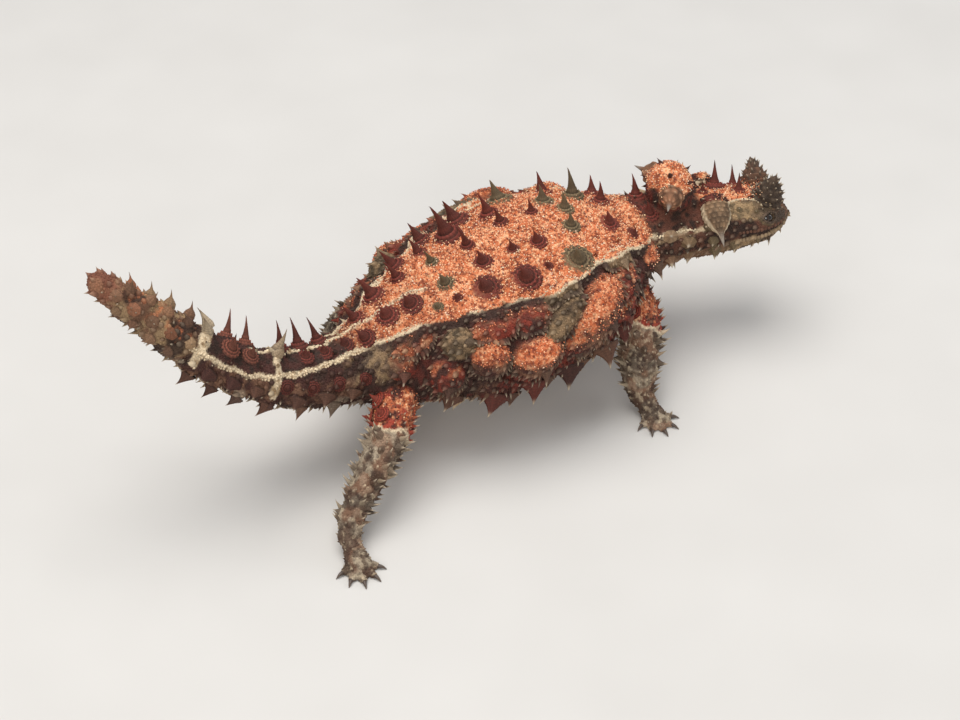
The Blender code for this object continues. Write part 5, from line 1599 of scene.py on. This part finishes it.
# %% Shingled cones
def shingled_cone(name, foot, way, length, radius, outline, rows, around, base, tip, slot, lead,
                  lean=0.1, depth=0.22, edge=0.25, pale_from=0.7, flat=1.0, rim=0.0):
    """Turned form whose radius follows the outline; u runs from foot to tip. Along each row of
    scales the radius grows with the part of the scale passed, most in the middle of each scale.
    It may be flattened across its lead, and its two edges turn cream by the share of the rim. Each scale has
    painted shade at its root, under the edge of the row before, and a painted highlight towards its free
    edge."""
    sides, steps = 6 * around, 8 * rows
    u = (np.arange(steps) / steps)[:, None]
    turn = (-2 * np.pi * np.arange(sides) / sides)[None]
    row, part = np.floor(u * rows), (u * rows) % 1
    lobe = np.abs(np.cos((around * turn + np.pi * row) / 2)) ** 0.8
    shell = radius * blend(u, np.linspace(0, 1, len(outline)), outline) * (1 + depth * part**1.2 * lobe)
    way = unit(way)
    across, over = around_axis(way[None], np.asarray(lead)[None])
    ring = np.cos(turn)[..., None] * across[0] + flat * np.sin(turn)[..., None] * over[0]
    middle = foot + (length * u)[..., None] * way - (lean * length * u**2)[..., None] * across[0]
    grid = middle + shell[..., None] * ring
    points, faces = closed(grid)
    points[-1] = foot + length * way - lean * length * across[0]
    spots = noise(grid.reshape(-1, 3), 1.3, 91).reshape(shell.shape)
    # Painted shade at the root of each scale and a painted highlight towards its free edge; the spots darken
    # it at random
    shade = ((0.50 + 0.65 * part * lobe) * (1.15 - 0.55 * ease(spots, 0.45, 0.65)))[..., None] * base
    sideways = np.abs(np.cos(turn)) + 0 * u
    pale = np.maximum(edge * ease(part * lobe, 0.72, 0.95), rim * ease(sideways, 0.8, 0.95))
    shade = shade + (CREAM - shade) * pale[..., None]
    shade = shade + (tip - shade) * ease(u, pale_from, min(pale_from + 0.25, 1.0))[..., None]
    colours = np.vstack([shade.reshape(-1, 3), base, tip])
    mesh, loops = make_mesh(name, points, faces)
    return dress(name, mesh, loops, np.clip(colours, 0, 1), HIDE)


GREY_TIP = rgb(138, 130, 120)
BLUNT = (1.0, 1.0, 0.97, 0.90, 0.78, 0.60, 0.40, 0.22, 0.0)
NIPPLE = (0.85, 1.0, 1.0, 0.88, 0.60, 0.26, 0.15, 0.09, 0.0)
FAN = (0.15, 0.82, 1.0, 1.0, 0.86, 0.58, 0.20, 0.11, 0.0)
for number, side in enumerate((-1, 1)):
    label = ("right", "left")[number]
    horn, rise = HORNS[number]
    base = (GREY_DARK * 0.7, BROWN * 0.6)[number]
    shingled_cone("horn_" + label, horn - HORN_SUNK * rise, rise, HORN_LENGTH, HORN_RADIUS, BLUNT, 6, 8, base,
                  GREY_DARK, "hide_head", HEAD_AHEAD, lean=0.05, depth=0.3, edge=0.1)
    ear, out = EARS[number]
    _, ahead, left, up = body_frame(EAR_AT)
    lifted = 0.7 * unit(0.64 * side * left + 0.77 * up)
    shingled_cone("ear_cone_" + label, ear - 1.5 * out + lifted, out, 11.8, 2.8, FAN, 12, 14,
                  0.88 * mix(BROWN, TAN, 0.55), GREY_TIP, "hide_head", ahead, lean=0.0, depth=0.12, edge=0.3,
                  pale_from=0.66, flat=0.85, rim=0.7)
    shingled_cone("knob_thorn_" + label, *knob_side(side, 3.2), 6.6, 2.3, NIPPLE, 5, 8,
                  mix(SAND_DARK, TAN, 0.45), GREY_TIP, "hide_body", KNOB_UP, lean=0.0, edge=0.35,
                  pale_from=0.6)

# %% Spinules of the horns
GOLDEN_ANGLE = 2.39996


def on_horn(horn, rise, count):
    """Places round a horn, each a golden angle on from the last, with the way out and up."""
    u, turn = (np.arange(count) + 0.5) / count * 0.9, GOLDEN_ANGLE * np.arange(count)
    across, over = around_axis(rise[None], HEAD_AHEAD[None])
    out = np.cos(turn)[:, None] * across + np.sin(turn)[:, None] * over
    radius = HORN_RADIUS * 1.06 * blend(u, np.linspace(0, 1, len(BLUNT)), BLUNT)
    points = horn + ((HORN_LENGTH * u - HORN_SUNK)[:, None] * rise) + radius[:, None] * out
    return points, unit(out + (0.6 + u)[:, None] * rise)


points, ways = (np.vstack(part) for part in zip(*[on_horn(horn, rise, 46) for horn, rise in HORNS]))
thorn_batch("horn_spines", Places(points - 0.2 * ways, ways), ways, 0.42, 1.15, GREY_DARK * 0.8, GREY_PALE,
            PRICK, sides=6, rays=3, lean=0.0, pale_from=0.5, ray_depth=0.0,
            lead=np.tile(HEAD_AHEAD, (len(points), 1)))

# %% Thorns of the crown, temples, jaw, snout and knob
# Distance, angle, radius and height
crown = [(77.9, 16, 2.1, 5.4), (82.0, -3, 1.6, 4.0), (82.2, 27, 1.6, 4.4), (77.0, -20, 1.1, 1.8),
         (74.6, 2, 1.2, 2.6)]
small = [(80.2, 54, 0.7, 0.9), (84.0, 60, 0.6, 0.8), (74.6, 112, 1.3, 2.6), (78.8, 118, 1.1, 2.0),
         (89.2, 30, 0.6, 1.0), (84.0, 114, 0.8, 1.2), (73.0, 66, 1.2, 2.2), (74.0, 92, 1.1, 2.0)]
small = [(s, side * a, r, h) for s, a, r, h in small for side in (-1, 1)]
for name, rows, profile, sides, rays, base, tip in (
        ("crown_thorns", crown, ROSETTE, 28, 14, MAROON, MAROON_DARK),
        ("head_thorns", small, SPIKE, 18, 6, OLIVE, GREY_PALE)):
    s, angle, wide, tall = np.array(rows).T
    roots, normals = settle(body_point(s, angle))
    at = Places(roots, normals)
    upright = body_normal(s, angle) if name == "crown_thorns" else unit(normals - 0.15 * ahead_at(s))
    thorn_batch(name, at, upright, wide, tall, base, tip,
                profile, sides, rays, lean=0.05, pale_from=0.6)
# Spines of the false head: how far up, to the left and ahead of the centre line under it
offsets = np.array([(13.6, 2.2, -1.0), (13.6, -2.2, -1.0), (12.8, 0.0, 3.2), (12.0, 3.2, 2.6),
                    (12.0, -3.2, 2.6)])
roots, normals = settle(KNOB_AT + offsets @ np.array([KNOB_UP, KNOB_LEFT, KNOB_AHEAD]))
thorn_batch("knob_spines", Places(roots, normals), normals, 0.55, 1.5, MAROON_DARK, MAROON_DARK,
            sides=16, rays=5, lead=np.tile(KNOB_AHEAD, (len(roots), 1)))

# %% [markdown]
# ## Eyes and claws
# The eye is small, dark and wet, and sits deep between its lids. The claws are smooth curved
# horn. Both shine more than the hide, so they get finishes of their own.

# %% Eyes
wet = Finish("eye_wet")
shine = wet.node("ShaderNodeAttribute", {"attribute_name": "paint"})
EYE_WET = wet.set(Base_Color=wet.mix(shine, (0.05, 0.03, 0.02, 1), 0.15 * wet.grain(0.3)), Roughness=0.07,
                  Coat_Weight=0.6, Coat_Roughness=0.03)
for label, (eye, along, over, away) in zip(("right", "left"), EYES):
    grid = ball(eye - EYE_SUNK * away, (EYE_RADIUS,) * 3, (along, over, away), 24, 36)
    points, faces = closed(grid)
    look = ((points - eye + EYE_SUNK * away) @ away) / EYE_RADIUS
    iris = ease(look, 0.80, 0.86) * (1 - ease(look, 0.93, 0.96))
    colours = mix(rgb(20, 13, 10), rgb(70, 44, 26), 0.5 * iris)
    mesh, loops = make_mesh("eyeball_" + label, points, faces)
    eyeball = dress("eyeball_" + label, mesh, loops, colours, EYE_WET)
    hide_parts("eye_" + label)

# %% Claws
claw = Finish("claw_horn")
growth = claw.node("ShaderNodeAttribute", {"attribute_name": "paint"})
streak = claw.grain(0.25)
CLAW_HORN = claw.set(Base_Color=claw.mix(growth, (0.16, 0.12, 0.09, 1), 0.4 * streak),
                     Roughness=0.30 + 0.2 * streak, Normal=claw.bump(streak, 0.3, 0.03))


def claw_grid(root, along):
    """Hooked claw: a tube that arches by a sine, drops by the square of the way along, and thins
    to a point."""
    u = np.linspace(0, 0.96, 10)
    line = root + (1.8 * u)[:, None] * along + np.outer(0.25 * np.sin(2.2 * u) - 0.55 * u**2, [0, 0, 1.0])
    line[:, 2] = np.maximum(line[:, 2], 0.12)
    return tube(line, 0.46 * (1 - u) ** 0.75, 12)


points, faces = joined([closed(claw_grid(root, along)) for root, along in CLAWS])
points = above_floor(points)
mesh, loops = make_mesh("claws", points, faces)
share = np.tile(np.r_[np.repeat(np.linspace(0, 1, 10), 12), 0, 1], len(CLAWS))
colours = mix(BLACK_BROWN * 1.3, GREY_DARK * 1.2, share)
dress("claws", mesh, loops, colours, CLAW_HORN)

# %% [markdown]
# ## Sand
# Desert sand clings to everything that faces up: the back between the thorns, the tops of the
# folds, the knob and the crown. Each grain is a tiny double pyramid half sunk in the coat, in
# the mixed colours of red sand: orange, rust, peach and a little pale quartz.


# %% Sand grains
def sandiness(at):
    """How much sand lies on each point, from 0 to 1."""
    patch = noise(at.points, 2.6, 71)
    kind, trunk = KIND[at.thorn], (at.s > -4) & (at.s < 60)
    ragged = noise(at.points, 1.6, 12)
    back = 1 - ease(at.drop + 0.9 * (ragged - 0.5), -0.4, 0.1)
    back = back * ease(at.s, -14, 2) * (1 - ease(at.s, 57.5, 60))
    fold = np.interp(at.s, (14, 18, 26, 28), (0.5, 0.85, 0.85, 0.55))
    fold = fold * (kind == SANDY_FOLD) * (at.ratio < 0.95) * trunk
    field = 0.15 * (kind == MAROON_FOLD) * (at.ratio < 0.9) * trunk * ease(ragged, 0.42, 0.56)
    crown = ease(at.s, 74, 76) * (1 - ease(at.s, 86, 88)) * (np.abs(at.angle) < 32)
    body = np.maximum(np.maximum(back, fold), np.maximum(0.8 * crown, field)) * (1 - at.leg_share)
    knob = at.knob * knob_sand(at)
    limb = 0.12 * at.leg_share * (1 - ease(at.t, 11, 14))
    amount = np.maximum(np.maximum(body * (1 - at.knob), knob), limb) * ease(at.normals[:, 2], -0.15, 0.35)
    bare = (kind <= OLIVE_DISC) & (at.knob < 0.5)
    cover = np.where(bare, 0.05 + 0.5 * ease(at.ratio, 0.56, 0.66) + 0.45 * ease(at.ratio, 0.70, 0.78), 1.0)
    return amount * cover * ease(patch, 0.05, 0.35)


# Grains tried on each square millimetre that is fully sandy
SAND_TRIES = 14


def sand_grains(spacing, seed):
    """Scatter over the skin, the more the sandier it is, and thin out to the spacing."""
    draw = np.random.default_rng(seed)
    sandy = sandiness(SKIN_PLACES)[CORNERS].mean(1)
    a, b, c = (SKIN_POINTS[CORNERS[:, k]] for k in range(3))
    weight = np.linalg.norm(np.cross(b - a, c - a), axis=1) * sandy
    count = int(weight.sum() / 2 * SAND_TRIES)
    corners = CORNERS[draw.choice(len(CORNERS), count, p=weight / weight.sum())]
    share = draw.dirichlet((1, 1, 1), count)[:, :, None]
    points = (SKIN_POINTS[corners] * share).sum(1)
    normals = unit((SKIN_NORMALS[corners] * share).sum(1))
    kept = thin_out(points, np.full(count, spacing))
    return points[kept], normals[kept]


roots, normals = sand_grains(spacing=0.33, seed=15)
draw = np.random.default_rng(16)
count = len(roots)
at = Places(roots + draw.uniform(0.16, 0.30, count)[:, None] * normals, unit(draw.normal(size=(count, 3))))
GRAIN = np.array([(1, 0, 0), (0, 1, 0), (-1, 0, 0), (0, -1, 0), (0, 0, 0.9), (0, 0, -0.9)], float)
GRAIN_FACES = [np.array([(0, 1, 4), (1, 2, 4), (2, 3, 4), (3, 0, 4),
                         (1, 0, 5), (2, 1, 5), (3, 2, 5), (0, 3, 5)])]
SAND_MIX = np.array([SAND, SAND_LIGHT, SAND_DARK, SAND_PALE, MAROON])
tint = SAND_MIX[draw.choice(5, count, p=(0.33, 0.31, 0.20, 0.10, 0.06))]
tint = tint * draw.uniform(0.75, 1.25, (count, 1))
flank_sand = SAND_MIX[draw.choice(5, count, p=(0.45, 0.12, 0.30, 0.03, 0.10))] * [0.98, 0.9, 0.86]
on_flank = (at.drop > 0.3) & (at.s < 60) & (at.knob < 0.5)
tint = np.where(on_flank[:, None], flank_sand, tint) * sand_shade(at.s)
shape = GRAIN * (draw.uniform(0.13, 0.22, count)[:, None, None] * draw.uniform(0.8, 1.2, (count, 1, 3)))
across, over = around_axis(at.normals, unit(draw.normal(size=(count, 3))))

quartz = Finish("sand_quartz")
glint = quartz.grain(0.2)
SAND_FINISH = quartz.set(
    Base_Color=quartz.mix(quartz.node("ShaderNodeAttribute", {"attribute_name": "paint"}),
                          (0.95, 0.75, 0.6, 1), 0.12 * glint), Roughness=0.55 + 0.3 * glint)
for number, part in enumerate(np.array_split(np.argsort(at.s), 2)):
    sand = repeat_shape(f"sand_{number + 1}", pick(at, part), shape[part], GRAIN_FACES, across[part],
                        over[part], at.normals[part], np.repeat(tint[part, None], 6, 1))
    sand.data.materials[0] = SAND_FINISH
    sand.data.shade_flat()
